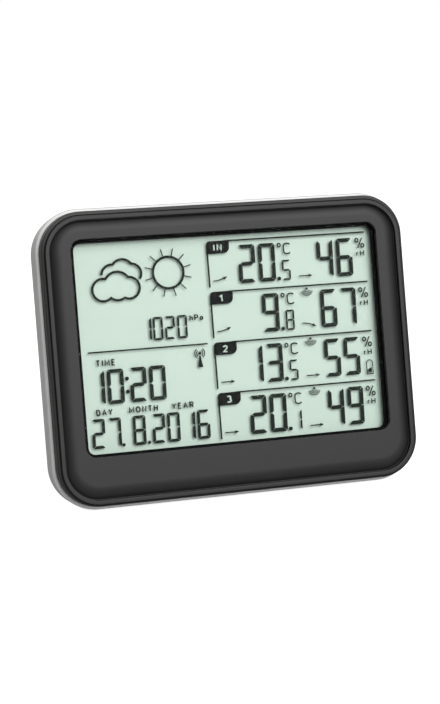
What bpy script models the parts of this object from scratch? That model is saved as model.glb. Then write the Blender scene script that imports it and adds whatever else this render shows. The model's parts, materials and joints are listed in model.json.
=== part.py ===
"""Desktop weather station: a leaning display housing with a fold-out stand.

The housing is modelled upright in its own frame and then leaned back as a whole:
x to the right, y backwards from the crest of the front lip ("depth"), z up the panel.
All dimensions are in millimetres; MM turns them into Blender's metres.
"""
import math

import bmesh
import bpy
from mathutils import Vector

MM = 0.001

# Driving dimensions ---------------------------------------------------------------
LEAN = math.radians(15.2)       # the panel leans back this far on its stand

PANEL_HALF_W = 85.0             # rectangle inside the raised lip
PANEL_HALF_H = 64.5
PANEL_RADIUS = 15.4
WINDOW_HALF_W = 75.05           # display opening in the front bezel
WINDOW_HALF_H = 50.55
WINDOW_RADIUS = 5.0
WINDOW_Z = 4.55                 # the opening sits above the panel's centre
FACE_DEPTH = 0.30               # flat of the face, behind the lip's crest
FACE_EDGE = (-6.0, -0.25)       # the face falls away between these offsets from the lip
FACE_FALL = 1.35
FACE_CURVE = 2.4
CASE_DEPTH = 26.5               # lip crest to the flat back
EDGE_ROUND = 6.0                # round-over of the rear shell's back edge
SKIRT_OUT = 3.75                # how far the bezel's side stands outside the lip's inner edge
RIM_OUT = 5.40                  # how far the rear shell's front edge does, its widest line
SHELL_OUT = 4.86                # and its wall where the round-over starts
SEAM_DEPTH = 7.6                # the bezel's side ends here, in front of the rear shell's rim
TONGUE_OUT = 2.50               # the bezel's tongue locates inside the rear shell
TONGUE_END = 11.2
WALL = 2.0
GAP = 0.35                      # clearance between neighbouring pieces
CORNER_STEPS = 8

# Display stack, front to back (depths)
LENS_DEPTH = (2.8, 3.5)
GASKET_DEPTH = (3.8, 4.1)
FRONT_GLASS_DEPTH = (4.4, 5.4)
REAR_GLASS_DEPTH = (5.7, 6.7)
REFLECTOR_DEPTH = (7.0, 7.3)
CARRIER_DEPTH = (4.4, 7.6, 9.2)
BOARD_DEPTH = (9.5, 11.1)
GASKET_INSET = 1.8              # black border that the gasket leaves round the display
GLASS_HALF_W = 75.6
GLASS_Z = (-48.2, 60.6)
CONTACT_LEDGE = 3.2             # strip of front glass above the rear glass, for the zebra strip

# Battery compartment: two AA cells lying side by side
CELL_RADIUS = 7.25
CELL_CAN = 49.2
CELL_NUB = 1.3
POCKET_HALF_W = 29.6
POCKET_Z = (-4.0, 27.4)
POCKET_FLOOR = 9.4
CELL_DEPTH = POCKET_FLOOR + 0.4 + CELL_RADIUS
CELL_Z = (4.05, 19.35)
PLATE_X = 29.0                  # middle of the contact plates
TAG_DEPTH = 12.4                # solder tags leave the compartment at this depth
DOOR_HALF_W = 31.6
DOOR_Z = (-5.6, 29.4)
DOOR_LEDGE = 24.7
DOOR_OPEN_GAP = 0.35
TAB_X = 18.0

# Stand, folded flat into its recess or swung out square to the back
STAND_HALF_W = 31.4
STAND_HALF_T = 1.7
STAND_LAND = 4.0                # length of the flat that the foot stands on
HINGE_Z = -56.0
HINGE_DEPTH = 24.4
RECESS_HALF_W = 32.0
RECESS_FLOOR = 22.3
TRUNNION_RADIUS = 1.5

# Keys, three on each side of the compartment
KEY_X = 56.0
KEY_Z = (24.0, 6.0, -12.0)
KEY_NAMES = (("mode", "set", "alarm"), ("channel", "up", "down"))
KEY_HALF = (6.0, 3.6)
KEY_PROUD = 0.9
SWITCH_TOP = 16.2
KEY_TRAVEL_ROOM = 1.1           # free space between a key's stem and its switch

# Keyhole for hanging on a wall
KEYHOLE_Z = 46.0
KEYHOLE_HEAD = 4.6
KEYHOLE_SLOT = 2.3
KEYHOLE_RISE = 9.0

# Fasteners
CASE_SCREW_X = 80.6
CASE_SCREW_Z = 44.0
SCREW_SEAT = 22.6               # depth of the seat that a case screw's head sits on
BOARD_SCREW_X = 73.0
BOARD_SCREW_Z = (-38.0, 50.0)

# Rubber feet let into the back edge
FOOT_X = (38.0, 62.0)
FOOT_RUN = (-0.8, 4.4)          # front and back of each foot, from the edge's lowest line
FOOT_PROUD = 0.15
FOOT_THICK = 0.85
FOOT_GAP = 0.3

# Table plane, as a height below the panel's centre once the case leans back
EDGE_CENTRE_DEPTH = CASE_DEPTH - EDGE_ROUND
EDGE_CENTRE_Z = -(PANEL_HALF_H + SHELL_OUT - EDGE_ROUND)
TABLE = (
    -math.sin(LEAN) * EDGE_CENTRE_DEPTH
    + math.cos(LEAN) * EDGE_CENTRE_Z
    - EDGE_ROUND
    - FOOT_PROUD
)
HINGE_HEIGHT = -math.sin(LEAN) * HINGE_DEPTH + math.cos(LEAN) * HINGE_Z - TABLE
STAND_LENGTH = (HINGE_HEIGHT - STAND_HALF_T * math.cos(LEAN)) / math.sin(LEAN) + STAND_LAND
RECESS_Z = (HINGE_Z - STAND_HALF_T - 0.45, HINGE_Z + STAND_LENGTH + 0.5)

COLOURS = {
    "bezel_plastic": ((0.072, 0.070, 0.070), 0.55, 0.0),
    "silver_plastic": ((0.42, 0.42, 0.41), 0.35, 0.6),
    "clear_acrylic": ((0.85, 0.90, 0.88), 0.05, 0.0),
    "black_foam": ((0.012, 0.012, 0.013), 0.90, 0.0),
    "lcd_glass": ((0.62, 0.74, 0.68), 0.12, 0.0),
    "reflector_film": ((0.66, 0.78, 0.71), 0.45, 0.0),
    "carrier_plastic": ((0.78, 0.78, 0.75), 0.50, 0.0),
    "elastomer": ((0.30, 0.32, 0.36), 0.80, 0.0),
    "circuit_board": ((0.03, 0.16, 0.07), 0.45, 0.0),
    "epoxy": ((0.015, 0.015, 0.015), 0.25, 0.0),
    "tin_can": ((0.62, 0.62, 0.62), 0.30, 1.0),
    "capacitor_sleeve": ((0.02, 0.03, 0.09), 0.40, 0.0),
    "sensor_plastic": ((0.85, 0.85, 0.82), 0.50, 0.0),
    "ferrite": ((0.05, 0.05, 0.055), 0.60, 0.0),
    "copper_wire": ((0.60, 0.26, 0.12), 0.35, 1.0),
    "key_plastic": ((0.05, 0.05, 0.05), 0.55, 0.0),
    "switch_plastic": ((0.03, 0.03, 0.03), 0.50, 0.0),
    "cell_sleeve": ((0.04, 0.17, 0.09), 0.30, 0.0),
    "nickel": ((0.60, 0.59, 0.56), 0.28, 1.0),
    "screw_steel": ((0.50, 0.50, 0.50), 0.35, 1.0),
    "rubber": ((0.02, 0.02, 0.02), 0.85, 0.0),
    "red_wire": ((0.55, 0.03, 0.02), 0.45, 0.0),
    "black_wire": ((0.015, 0.015, 0.015), 0.45, 0.0),
}


def clear_scene():
    for item in list(bpy.data.objects):
        bpy.data.objects.remove(item, do_unlink=True)


def material(name):
    """The named plastic, metal or glass, made once."""
    found = bpy.data.materials.get(name)
    if found:
        return found
    colour, roughness, metallic = COLOURS[name]
    made = bpy.data.materials.new(name)
    made.use_nodes = True
    shader = made.node_tree.nodes["Principled BSDF"]
    shader.inputs["Base Color"].default_value = (*colour, 1.0)
    shader.inputs["Roughness"].default_value = roughness
    shader.inputs["Metallic"].default_value = metallic
    return made


def empty(name, parent=None, location=(0, 0, 0), tilt=0.0):
    item = bpy.data.objects.new(name, None)
    bpy.context.collection.objects.link(item)
    item.parent = parent
    item.location = Vector(location) * MM
    item.rotation_euler.x = tilt
    return item


def add_mesh(name, bm, parent, slot=None, location=(0, 0, 0), turn=(0, 0, 0)):
    """Closes a bmesh into an object; without a material slot it is a cutter."""
    bmesh.ops.remove_doubles(bm, verts=bm.verts, dist=0.002 * MM)
    bmesh.ops.recalc_face_normals(bm, faces=bm.faces)
    mesh = bpy.data.meshes.new(name)
    bm.to_mesh(mesh)
    bm.free()
    item = bpy.data.objects.new(name, mesh)
    bpy.context.collection.objects.link(item)
    item.parent = parent
    item.location = Vector(location) * MM
    item.rotation_euler = turn
    if slot:
        mesh.materials.append(material(slot))
        mesh.shade_smooth()
        mesh.set_sharp_from_angle(angle=math.radians(35))
    else:
        item.hide_render = True
        item.display_type = "WIRE"
    return item


def rounded_rectangle(half_w, half_h, radius, steps):
    """Points (x, z) round a rectangle, with an arc of `steps` pieces at each corner."""
    points = []
    for corner, (side_x, side_z) in enumerate(((1, 1), (-1, 1), (-1, -1), (1, -1))):
        for step in range(steps + 1):
            angle = (corner + step / steps) * math.pi / 2
            x = side_x * (half_w - radius) + radius * math.cos(angle)
            z = side_z * (half_h - radius) + radius * math.sin(angle)
            points.append((x, z))
    return points


def add_ring(bm, depth, half_w, half_h, radius, centre=(0, 0), steps=CORNER_STEPS):
    outline = rounded_rectangle(half_w, half_h, radius, steps)
    return [bm.verts.new(Vector((x + centre[0], depth, z + centre[1])) * MM) for x, z in outline]


def bridge(bm, first, second):
    count = len(first)
    for i in range(count):
        j = (i + 1) % count
        bm.faces.new((first[i], first[j], second[j], second[i]))


def add_stack(bm, sections, centre=(0, 0), steps=3):
    """A capped loft through (depth, half_w, half_h, radius) sections."""
    rings = [add_ring(bm, *section, centre=centre, steps=steps) for section in sections]
    for first, second in zip(rings, rings[1:]):
        bridge(bm, first, second)
    bm.faces.new(rings[0])
    bm.faces.new(rings[-1])


def add_tube_frame(bm, sections, steps):
    """A loft that closes on itself, so it leaves an opening through its middle."""
    rings = [add_ring(bm, *section[:4], centre=(0, section[4]), steps=steps) for section in sections]
    for first, second in zip(rings, rings[1:] + rings[:1]):
        bridge(bm, first, second)


def add_box(bm, x, depth, z):
    """A box from three (low, high) pairs."""
    corners = [bm.verts.new(Vector((a, b, c)) * MM) for a in x for b in depth for c in z]
    for face in ((0, 1, 3, 2), (4, 6, 7, 5), (0, 4, 5, 1), (2, 3, 7, 6), (0, 2, 6, 4), (1, 5, 7, 3)):
        bm.faces.new([corners[i] for i in face])


def add_prism(bm, outline, x):
    """An outline of (depth, z) points, extruded across x = (low, high)."""
    ends = [[bm.verts.new(Vector((across, depth, z)) * MM) for depth, z in outline] for across in x]
    bridge(bm, *ends)
    bm.faces.new(ends[0])
    bm.faces.new(ends[1])


def round_sections(*pairs):
    """Sections of a turned piece, from (depth, radius) pairs."""
    return [(depth, radius, radius, radius) for depth, radius in pairs]


def stack(name, sections, slot, parent, centre=(0, 0), steps=3, location=(0, 0, 0), turn=(0, 0, 0)):
    bm = bmesh.new()
    add_stack(bm, sections, centre, steps)
    return add_mesh(name, bm, parent, slot, location, turn)


def plate(name, depth, half_w, z, slot, parent, radius=1.0, x=0.0):
    """A flat sheet with rounded corners; z is its (low, high) edge."""
    half_h = (z[1] - z[0]) / 2
    centre = (x, (z[0] + z[1]) / 2)
    sections = [(level, half_w, half_h, radius) for level in depth]
    return stack(name, sections, slot, parent, centre, steps=2)


def combine(target, cutter, operation):
    modifier = target.modifiers.new(cutter.name, "BOOLEAN")
    modifier.operation = operation
    modifier.solver = "EXACT"
    modifier.object = cutter


def wire(name, points, radius, slot, parent):
    """A curve with a round section and filled ends through the given points."""
    curve = bpy.data.curves.new(name, "CURVE")
    curve.dimensions = "3D"
    curve.bevel_depth = radius * MM
    curve.bevel_resolution = 1
    curve.use_fill_caps = True
    spline = curve.splines.new("POLY")
    spline.points.add(len(points) - 1)
    for target, point in zip(spline.points, points):
        target.co = (*(Vector(point) * MM), 1.0)
    curve.materials.append(material(slot))
    item = bpy.data.objects.new(name, curve)
    bpy.context.collection.objects.link(item)
    item.parent = parent
    return item


def panel_section(offset, depth):
    """A ring that stands `offset` outside the rectangle within the raised lip."""
    return (depth, PANEL_HALF_W + offset, PANEL_HALF_H + offset, max(PANEL_RADIUS + offset, 1.0), 0.0)


def window_section(offset, depth):
    """A ring that stands `offset` outside the display opening."""
    radius = WINDOW_RADIUS + offset
    return (depth, WINDOW_HALF_W + offset, WINDOW_HALF_H + offset, radius, WINDOW_Z)


def corners(x, z):
    return [(side_x * x, level) for side_x in (-1, 1) for level in z]


def case_screw_places():
    return corners(CASE_SCREW_X, (-CASE_SCREW_Z, CASE_SCREW_Z))


def board_screw_places():
    return corners(BOARD_SCREW_X, BOARD_SCREW_Z)


def add_board_screw_holes(bm, front, back):
    """Clearance holes that pass right through a piece lying between two depths."""
    hole = round_sections((front - 1.0, 1.1), (back + 1.0, 1.1))
    for place in board_screw_places():
        add_stack(bm, hole, place, steps=2)


# Front ------------------------------------------------------------------------------
def make_front_bezel(device):
    """Pillowed face, raised lip, stepped shoulder and a tongue that enters the rear shell."""
    face = []
    for share in (0.0, 0.3, 0.6, 0.85, 1.0):
        offset = FACE_EDGE[0] + (FACE_EDGE[1] - FACE_EDGE[0]) * share
        face.append((offset, FACE_DEPTH + FACE_FALL * share ** FACE_CURVE))
    lip = [(0.0, 1.55), (0.05, 0.30), (0.26, 0.04), (1.04, 0.0)]
    lip += [(1.82, 0.04), (2.03, 0.30), (2.08, 0.95)]
    side = [(3.30, 1.10), (3.62, 1.45), (SKIRT_OUT - 0.05, 3.50), (SKIRT_OUT, SEAM_DEPTH)]
    side += [(TONGUE_OUT + 0.05, SEAM_DEPTH), (TONGUE_OUT, TONGUE_END)]
    inside = [(1.60, TONGUE_END), (1.60, 4.0), (1.0, 3.2), (-5.2, 3.2), (-6.0, 2.5)]
    sections = [window_section(0.0, 2.5), window_section(0.0, 0.60), window_section(0.25, FACE_DEPTH)]
    sections += [panel_section(*point) for point in face + lip + side + inside]
    bm = bmesh.new()
    add_tube_frame(bm, sections, CORNER_STEPS)
    bezel = add_mesh("front_bezel", bm, device, "bezel_plastic")

    posts = bmesh.new()
    holes = bmesh.new()
    for place in case_screw_places():
        add_stack(posts, round_sections((1.9, 3.0), (13.6, 3.0)), place, steps=4)
        add_stack(holes, round_sections((4.2, 1.6), (14.2, 1.6)), place, steps=3)
    combine(bezel, add_mesh("bezel_posts", posts, device), "UNION")
    combine(bezel, add_mesh("bezel_post_holes", holes, device), "DIFFERENCE")


def make_display(device):
    lens_z = (WINDOW_Z - WINDOW_HALF_H - 1.5, WINDOW_Z + WINDOW_HALF_H + 1.5)
    plate("display_lens", LENS_DEPTH, WINDOW_HALF_W + 1.5, lens_z, "clear_acrylic", device, radius=3.0)

    bm = bmesh.new()
    add_tube_frame(bm, [
        window_section(1.5, GASKET_DEPTH[0]),
        window_section(1.5, GASKET_DEPTH[1]),
        window_section(-GASKET_INSET, GASKET_DEPTH[1]),
        window_section(-GASKET_INSET, GASKET_DEPTH[0]),
    ], steps=4)
    add_mesh("display_gasket", bm, device, "black_foam")

    rear_top = GLASS_Z[1] - CONTACT_LEDGE
    plate("lcd_front_glass", FRONT_GLASS_DEPTH, GLASS_HALF_W, GLASS_Z, "lcd_glass", device)
    short = (GLASS_Z[0], rear_top)
    plate("lcd_rear_glass", REAR_GLASS_DEPTH, GLASS_HALF_W, short, "lcd_glass", device)
    plate("lcd_reflector", REFLECTOR_DEPTH, GLASS_HALF_W, short, "reflector_film", device)


def make_lcd_carrier(device):
    """Frame that holds the glass, with rear rails that the circuit board is screwed to."""
    front, rail, rear = CARRIER_DEPTH
    middle = (GLASS_Z[0] + GLASS_Z[1]) / 2
    glass_half_h = (GLASS_Z[1] - GLASS_Z[0]) / 2
    outer = (GLASS_HALF_W + 1.6, glass_half_h + 1.6, 1.5, middle)
    pocket = (GLASS_HALF_W + 0.3, glass_half_h + 0.3, 1.0, middle)
    opening = (70.0, 46.0, 2.0, 4.0)
    bm = bmesh.new()
    path = [(front, outer), (rear, outer), (rear, opening)]
    path += [(rail, opening), (rail, pocket), (front, pocket)]
    add_tube_frame(bm, [(depth, *shape) for depth, shape in path], steps=2)
    carrier = add_mesh("lcd_carrier", bm, device, "carrier_plastic")

    slots = bmesh.new()
    add_box(slots, (-70.5, 70.5), (rail - 1, rear + 1), (57.2, 60.8))
    add_board_screw_holes(slots, rail, rear)
    combine(carrier, add_mesh("carrier_slots", slots, device), "DIFFERENCE")

    bm = bmesh.new()
    add_box(bm, (-70.0, 70.0), (FRONT_GLASS_DEPTH[1] + 0.3, BOARD_DEPTH[0] - 0.3), (57.8, 60.3))
    add_mesh("zebra_strip", bm, device, "elastomer")


# Electronics ------------------------------------------------------------------------
def make_main_board(device):
    board = plate("main_board", BOARD_DEPTH, 75.5, (-45.0, 61.5), "circuit_board", device, radius=2.0)
    holes = bmesh.new()
    add_box(holes, (-37.0, 37.0), (BOARD_DEPTH[0] - 1, BOARD_DEPTH[1] + 1), (-11.5, 34.0))
    add_board_screw_holes(holes, *BOARD_DEPTH)
    combine(board, add_mesh("board_holes", holes, device), "DIFFERENCE")


def make_board_parts(device):
    base = BOARD_DEPTH[1] + 0.3
    dome = round_sections((base, 7.0), (base + 0.8, 6.6), (base + 1.5, 5.2), (base + 1.9, 2.6))
    stack("controller_blob", dome, "epoxy", device, (-20.0, 47.0))
    crystal = [(base, 4.0, 1.5, 1.4), (base + 3.0, 4.0, 1.5, 1.4)]
    stack("clock_crystal", crystal, "tin_can", device, (31.0, 45.0), steps=2)
    for number, x in enumerate((9.0, 17.5), start=1):
        can = round_sections((base, 3.0), (base + 7.4, 3.0), (base + 8.0, 2.6))
        stack(f"capacitor_{number}", can, "capacitor_sleeve", device, (x, 44.0))
    seat = [(level, 2.5, 2.5, 0.4) for level in (base, base + 1.2)]
    sensor = seat + [(level, 2.2, 2.2, 0.8) for level in (base + 1.2, base + 2.1)]
    stack("pressure_sensor", sensor, "tin_can", device, (46.0, -36.0), steps=2)
    humidity = [(base, 4.0, 6.0, 0.6), (base + 4.6, 4.0, 6.0, 0.6)]
    stack("humidity_sensor", humidity, "sensor_plastic", device, (66.0, -32.0), steps=2)
    receiver_x = -69.5
    depth = (base + 2.0, base + 3.0)
    plate("receiver_board", depth, 6.5, (-4.0, 30.0), "circuit_board", device, 0.6, x=receiver_x)
    depth = (base + 3.3, base + 6.0)
    plate("receiver_shield", depth, 5.0, (6.0, 20.0), "tin_can", device, 0.6, x=receiver_x)
    route = [(0.0, 4.2, -3.4), (0.0, 4.2, -9.0), (2.0, 4.6, -14.0), (3.5, 5.0, -38.0)]
    aerial = [(receiver_x + across, base + rise, z) for across, rise, z in route]
    wire("receiver_aerial", aerial, 0.5, "copper_wire", device)
    buzzer = round_sections((19.6, 9.0), (23.4, 9.0), (23.9, 8.6))
    stack("buzzer", buzzer, "switch_plastic", device, (-44.0, 46.0), steps=5)


def make_clock_aerial(device):
    """Ferrite rod and winding for the radio clock signal, cradled in a bracket."""
    x, depth, low, high = 70.5, 18.6, -16.0, 34.0
    upright = (-math.pi / 2, 0, 0)
    rod = round_sections((-25.0, 4.0), (25.0, 4.0))
    place = (x, depth, (low + high) / 2)
    # Turned a quarter about x, the piece's own depth axis points down the panel.
    stack("ferrite_rod", rod, "ferrite", device, steps=3, location=place, turn=upright)
    bm = bmesh.new()
    half = 8.0
    sleeve = [(-half, 4.3), (half, 4.3), (half, 5.4), (-half, 5.4)]
    add_tube_frame(bm, [(along, r, r, r, 0.0) for along, r in sleeve], steps=3)
    add_mesh("ferrite_coil", bm, device, "copper_wire", place, upright)

    bm = bmesh.new()
    add_box(bm, (x - 4.5, x + 4.5), (12.0, 13.2), (low, high))
    bracket = add_mesh("aerial_bracket", bm, device, "carrier_plastic")
    cradles = bmesh.new()
    for level in (low + 3.0, high - 6.0):
        add_box(cradles, (x - 5.6, x + 5.6), (12.1, 20.0), (level, level + 3.0))
    combine(bracket, add_mesh("bracket_cradles", cradles, device), "UNION")
    bore = bmesh.new()
    add_box(bore, (x - 4.35, x + 4.35), (14.25, 24.0), (low - 2, high + 2))
    combine(bracket, add_mesh("bracket_bore", bore, device), "DIFFERENCE")


def make_switches(device):
    base = BOARD_DEPTH[1] + 0.3
    for side, names in zip((-1, 1), KEY_NAMES):
        for name, z in zip(names, KEY_Z):
            body = [(level, 3.0, 3.0, 0.3) for level in (base, base + 3.4)]
            plunger = round_sections((base + 3.4, 1.7), (SWITCH_TOP, 1.7))
            stack(f"{name}_switch", body + plunger, "switch_plastic", device, (side * KEY_X, z), steps=3)


def make_key(device, name, x, z):
    """A cap with a retaining flange behind the shell and a stem towards its switch."""
    half_w, half_h = KEY_HALF
    stem_end = SWITCH_TOP + KEY_TRAVEL_ROOM
    flange_front, flange_back = 22.6, CASE_DEPTH - WALL - 0.35
    sections = [
        (stem_end, 1.8, 1.8, 0.6),
        (flange_front, 1.8, 1.8, 0.6),
        (flange_front, half_w + 1.2, half_h + 1.2, 2.2),
        (flange_back, half_w + 1.2, half_h + 1.2, 2.2),
        (flange_back, half_w, half_h, 2.0),
        (CASE_DEPTH + KEY_PROUD - 0.5, half_w, half_h, 2.0),
        (CASE_DEPTH + KEY_PROUD, half_w - 0.6, half_h - 0.6, 1.6),
    ]
    slide = empty(f"{name}_key_slide", device, (x, CASE_DEPTH, z))
    moved = [(depth - CASE_DEPTH, *shape) for depth, *shape in sections]
    stack(f"{name}_key", moved, "key_plastic", slide, steps=2)


# Rear -------------------------------------------------------------------------------
def make_shell_tray(device):
    """Open tray: flat rim behind the bezel's side, rounded corner, drafted wall, round-over and back."""
    centre = SHELL_OUT - EDGE_ROUND
    rim = SEAM_DEPTH + GAP
    outside = [(RIM_OUT - 0.45, rim), (RIM_OUT - 0.13, rim + 0.13), (RIM_OUT, rim + 0.5)]
    inner_round = EDGE_ROUND - WALL
    steps = 5
    for step in range(steps + 1):
        angle = math.pi / 2 * step / steps
        reach = EDGE_ROUND * math.cos(angle)
        outside.append((centre + reach, EDGE_CENTRE_DEPTH + EDGE_ROUND * math.sin(angle)))
    inside = [(SHELL_OUT - WALL, rim)]
    for step in range(steps):
        angle = math.pi / 2 * step / (steps - 1)
        reach = inner_round * math.cos(angle)
        inside.append((centre + reach, EDGE_CENTRE_DEPTH + inner_round * math.sin(angle)))
    bm = bmesh.new()
    rings = []
    for point in reversed(inside):
        rings.append(add_ring(bm, *panel_section(*point)[:4]))
    for point in outside:
        rings.append(add_ring(bm, *panel_section(*point)[:4]))
    for first, second in zip(rings, rings[1:]):
        bridge(bm, first, second)
    bm.faces.new(rings[0])
    bm.faces.new(rings[-1])
    return add_mesh("rear_shell", bm, device, "silver_plastic")


def table_outline(points):
    """Turns (along the table, above the edge's centre) into (depth, z) of the leaning case."""
    outline = []
    for along, height in points:
        depth = EDGE_CENTRE_DEPTH + along * math.cos(LEAN) - height * math.sin(LEAN)
        z = EDGE_CENTRE_Z + along * math.sin(LEAN) + height * math.cos(LEAN)
        outline.append((depth, z))
    return outline


def foot_span(side, margin=0.0):
    return sorted((side * (FOOT_X[0] - margin), side * (FOOT_X[1] + margin)))


def make_feet(device):
    """Rubber pads whose undersides lie flat on the table once the case leans."""
    front, back = FOOT_RUN
    level = -EDGE_ROUND - FOOT_PROUD
    top = level + FOOT_THICK
    outline = table_outline([(front, level), (back, level), (back, top), (front, top)])
    for name, side in (("left", -1), ("right", 1)):
        bm = bmesh.new()
        add_prism(bm, outline, foot_span(side))
        add_mesh(f"rubber_foot_{name}", bm, device, "rubber")


def make_rear_shell(device):
    shell = make_shell_tray(device)
    back = CASE_DEPTH + 1.0
    inner = CASE_DEPTH - WALL + 0.1

    compartment = bmesh.new()
    opening = DOOR_HALF_W + DOOR_OPEN_GAP
    wall_x = opening + 1.5
    add_box(compartment, (-wall_x, wall_x), (POCKET_FLOOR - 1.5, inner), (-9.6, DOOR_Z[1] + 1.9))
    for place in case_screw_places():
        add_stack(compartment, round_sections((14.0, 4.2), (inner, 4.2)), place, steps=4)
    combine(shell, add_mesh("compartment_walls", compartment, device), "UNION")

    bay = bmesh.new()
    bay_half_w = RECESS_HALF_W + 3.6
    add_box(bay, (-bay_half_w, bay_half_w), (RECESS_FLOOR - 1.7, inner), (RECESS_Z[0] - 2.2, -9.0))
    front, back_end = FOOT_RUN
    seat = FOOT_THICK + FOOT_GAP - EDGE_ROUND - FOOT_PROUD
    behind = [(0.0, seat - 0.5), (back_end + 0.35, seat - 0.5), (back_end - 0.4, seat + 2.1)]
    behind.append((0.3, seat + 0.5))
    for side in (-1, 1):
        add_prism(bay, table_outline(behind), foot_span(side))
    combine(shell, add_mesh("stand_bay", bay, device), "UNION")

    pocket = bmesh.new()
    reach = (front - FOOT_GAP, back_end + 1.0)
    under = [(reach[0], seat), (reach[1], seat), (reach[1], seat - 2.5), (reach[0], seat - 2.5)]
    for side in (-1, 1):
        add_prism(pocket, table_outline(under), foot_span(side, FOOT_GAP))
    add_box(pocket, (-POCKET_HALF_W, POCKET_HALF_W), (POCKET_FLOOR, back), POCKET_Z)
    add_box(pocket, (-RECESS_HALF_W, RECESS_HALF_W), (RECESS_FLOOR, back), RECESS_Z)
    for place in case_screw_places():
        well = round_sections((13.0, 1.6), (SCREW_SEAT, 1.6), (SCREW_SEAT, 3.2), (back, 3.2))
        add_stack(pocket, well, place, steps=3)
    for side, names in zip((-1, 1), KEY_NAMES):
        for z in KEY_Z:
            hole = [(level, KEY_HALF[0] + 0.3, KEY_HALF[1] + 0.3, 2.3) for level in (inner - 1.0, back)]
            add_stack(pocket, hole, (side * KEY_X, z), steps=2)
    for number in range(5):
        slot = [(level, 7.0, 0.8, 0.75) for level in (inner - 1.0, back)]
        add_stack(pocket, slot, (62.0, -46.0 + number * 4.0), steps=2)
    for x in (-47.0, -44.0, -41.0):
        add_stack(pocket, round_sections((inner - 1.0, 0.8), (back, 0.8)), (x, 46.0), steps=2)
    combine(shell, add_mesh("shell_openings", pocket, device), "DIFFERENCE")

    ledge = bmesh.new()
    door_z = (DOOR_Z[0] - DOOR_OPEN_GAP, DOOR_Z[1] + DOOR_OPEN_GAP)
    add_box(ledge, (-opening, opening), (DOOR_LEDGE, back), door_z)
    head = round_sections((inner - 1.0, KEYHOLE_HEAD), (back, KEYHOLE_HEAD))
    add_stack(ledge, head, (0.0, KEYHOLE_Z), steps=4)
    combine(shell, add_mesh("door_ledge", ledge, device), "DIFFERENCE")

    details = bmesh.new()
    for x in (-TAB_X, TAB_X):
        add_box(details, (x - 4.6, x + 4.6), (21.6, DOOR_LEDGE + 0.2), (-7.9, POCKET_Z[0] + 0.5))
    shape = (KEYHOLE_SLOT, KEYHOLE_RISE / 2, KEYHOLE_SLOT - 0.1)
    shank = [(level, *shape) for level in (inner - 1.2, back + 0.2)]
    add_stack(details, shank, (0.0, KEYHOLE_Z + 2.0 + KEYHOLE_RISE / 2))
    tag_slot = (TAG_DEPTH - 0.6, TAG_DEPTH + 0.6)
    for z in CELL_Z:
        add_box(details, (-37.0, 0.6 - POCKET_HALF_W), tag_slot, (z - 1.9, z + 1.9))
    for side in (-1, 1):
        bore = sorted((side * (RECESS_HALF_W - 0.5), side * 34.2))
        add_turned_x(details, TRUNNION_RADIUS + 0.3, bore, HINGE_DEPTH, HINGE_Z)
    combine(shell, add_mesh("shell_details", details, device), "DIFFERENCE")


def add_turned_x(bm, radius, x, depth, z, sides=12):
    """A cylinder whose axis runs across the case."""
    angles = [2 * math.pi * i / sides for i in range(sides)]
    add_prism(bm, [(depth + radius * math.cos(a), z + radius * math.sin(a)) for a in angles], x)


def make_battery_door(device):
    """Snap-in door; it swings about its lower outer edge, where two tabs hook under the shell."""
    pivot = (0.0, CASE_DEPTH, DOOR_Z[0])
    hinge = empty("battery_door_hinge", device, pivot)
    height = DOOR_Z[1] - DOOR_Z[0]
    thickness = CASE_DEPTH - DOOR_LEDGE - 0.3
    sections = [
        (-thickness, DOOR_HALF_W, height / 2, 0.8),
        (-0.5, DOOR_HALF_W, height / 2, 0.8),
        (0.0, DOOR_HALF_W - 0.4, height / 2 - 0.4, 0.6),
    ]
    door = stack("battery_door", sections, "silver_plastic", hinge, (0.0, height / 2), steps=2)
    extras = bmesh.new()
    for x in (-TAB_X, TAB_X):
        root = 0.1 - thickness
        outline = [(root, 2.2), (-3.6, 2.2), (-3.6, -1.6), (-2.4, -1.6), (-2.4, 0.6), (root, 0.6)]
        add_prism(extras, outline, (x - 4.0, x + 4.0))
    combine(door, add_mesh("door_tabs", extras, hinge), "UNION")


def make_battery(device, number, z, side):
    """An AA cell lying across the case, with its raised positive end towards `side`."""
    far = PLATE_X - 0.6
    can_end = far - CELL_NUB
    sections = round_sections(
        (can_end - CELL_CAN, CELL_RADIUS - 0.5),
        (can_end - CELL_CAN + 0.5, CELL_RADIUS),
        (can_end - 0.5, CELL_RADIUS),
        (can_end, CELL_RADIUS - 0.5),
        (can_end, 2.7),
        (far, 2.7),
    )
    place = (0.0, CELL_DEPTH, z)
    turn = (0, 0, -side * math.pi / 2)
    stack(f"battery_{number}", sections, "cell_sleeve", device, steps=4, location=place, turn=turn)


def make_contact_spring(device, number, z, side):
    """A conical spring that presses on the flat end of a cell at the `side` end."""
    start = PLATE_X - 0.2 - 0.5 - 0.4
    length = 4.9
    turns, per_turn = 3, 10
    points = []
    for step in range(turns * per_turn + 1):
        share = step / (turns * per_turn)
        angle = 2 * math.pi * turns * share
        radius = 4.6 - 1.8 * share
        depth = CELL_DEPTH + radius * math.cos(angle)
        points.append((side * (start - length * share), depth, z + radius * math.sin(angle)))
    wire(f"contact_spring_{number}", points, 0.4, "nickel", device)


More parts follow.
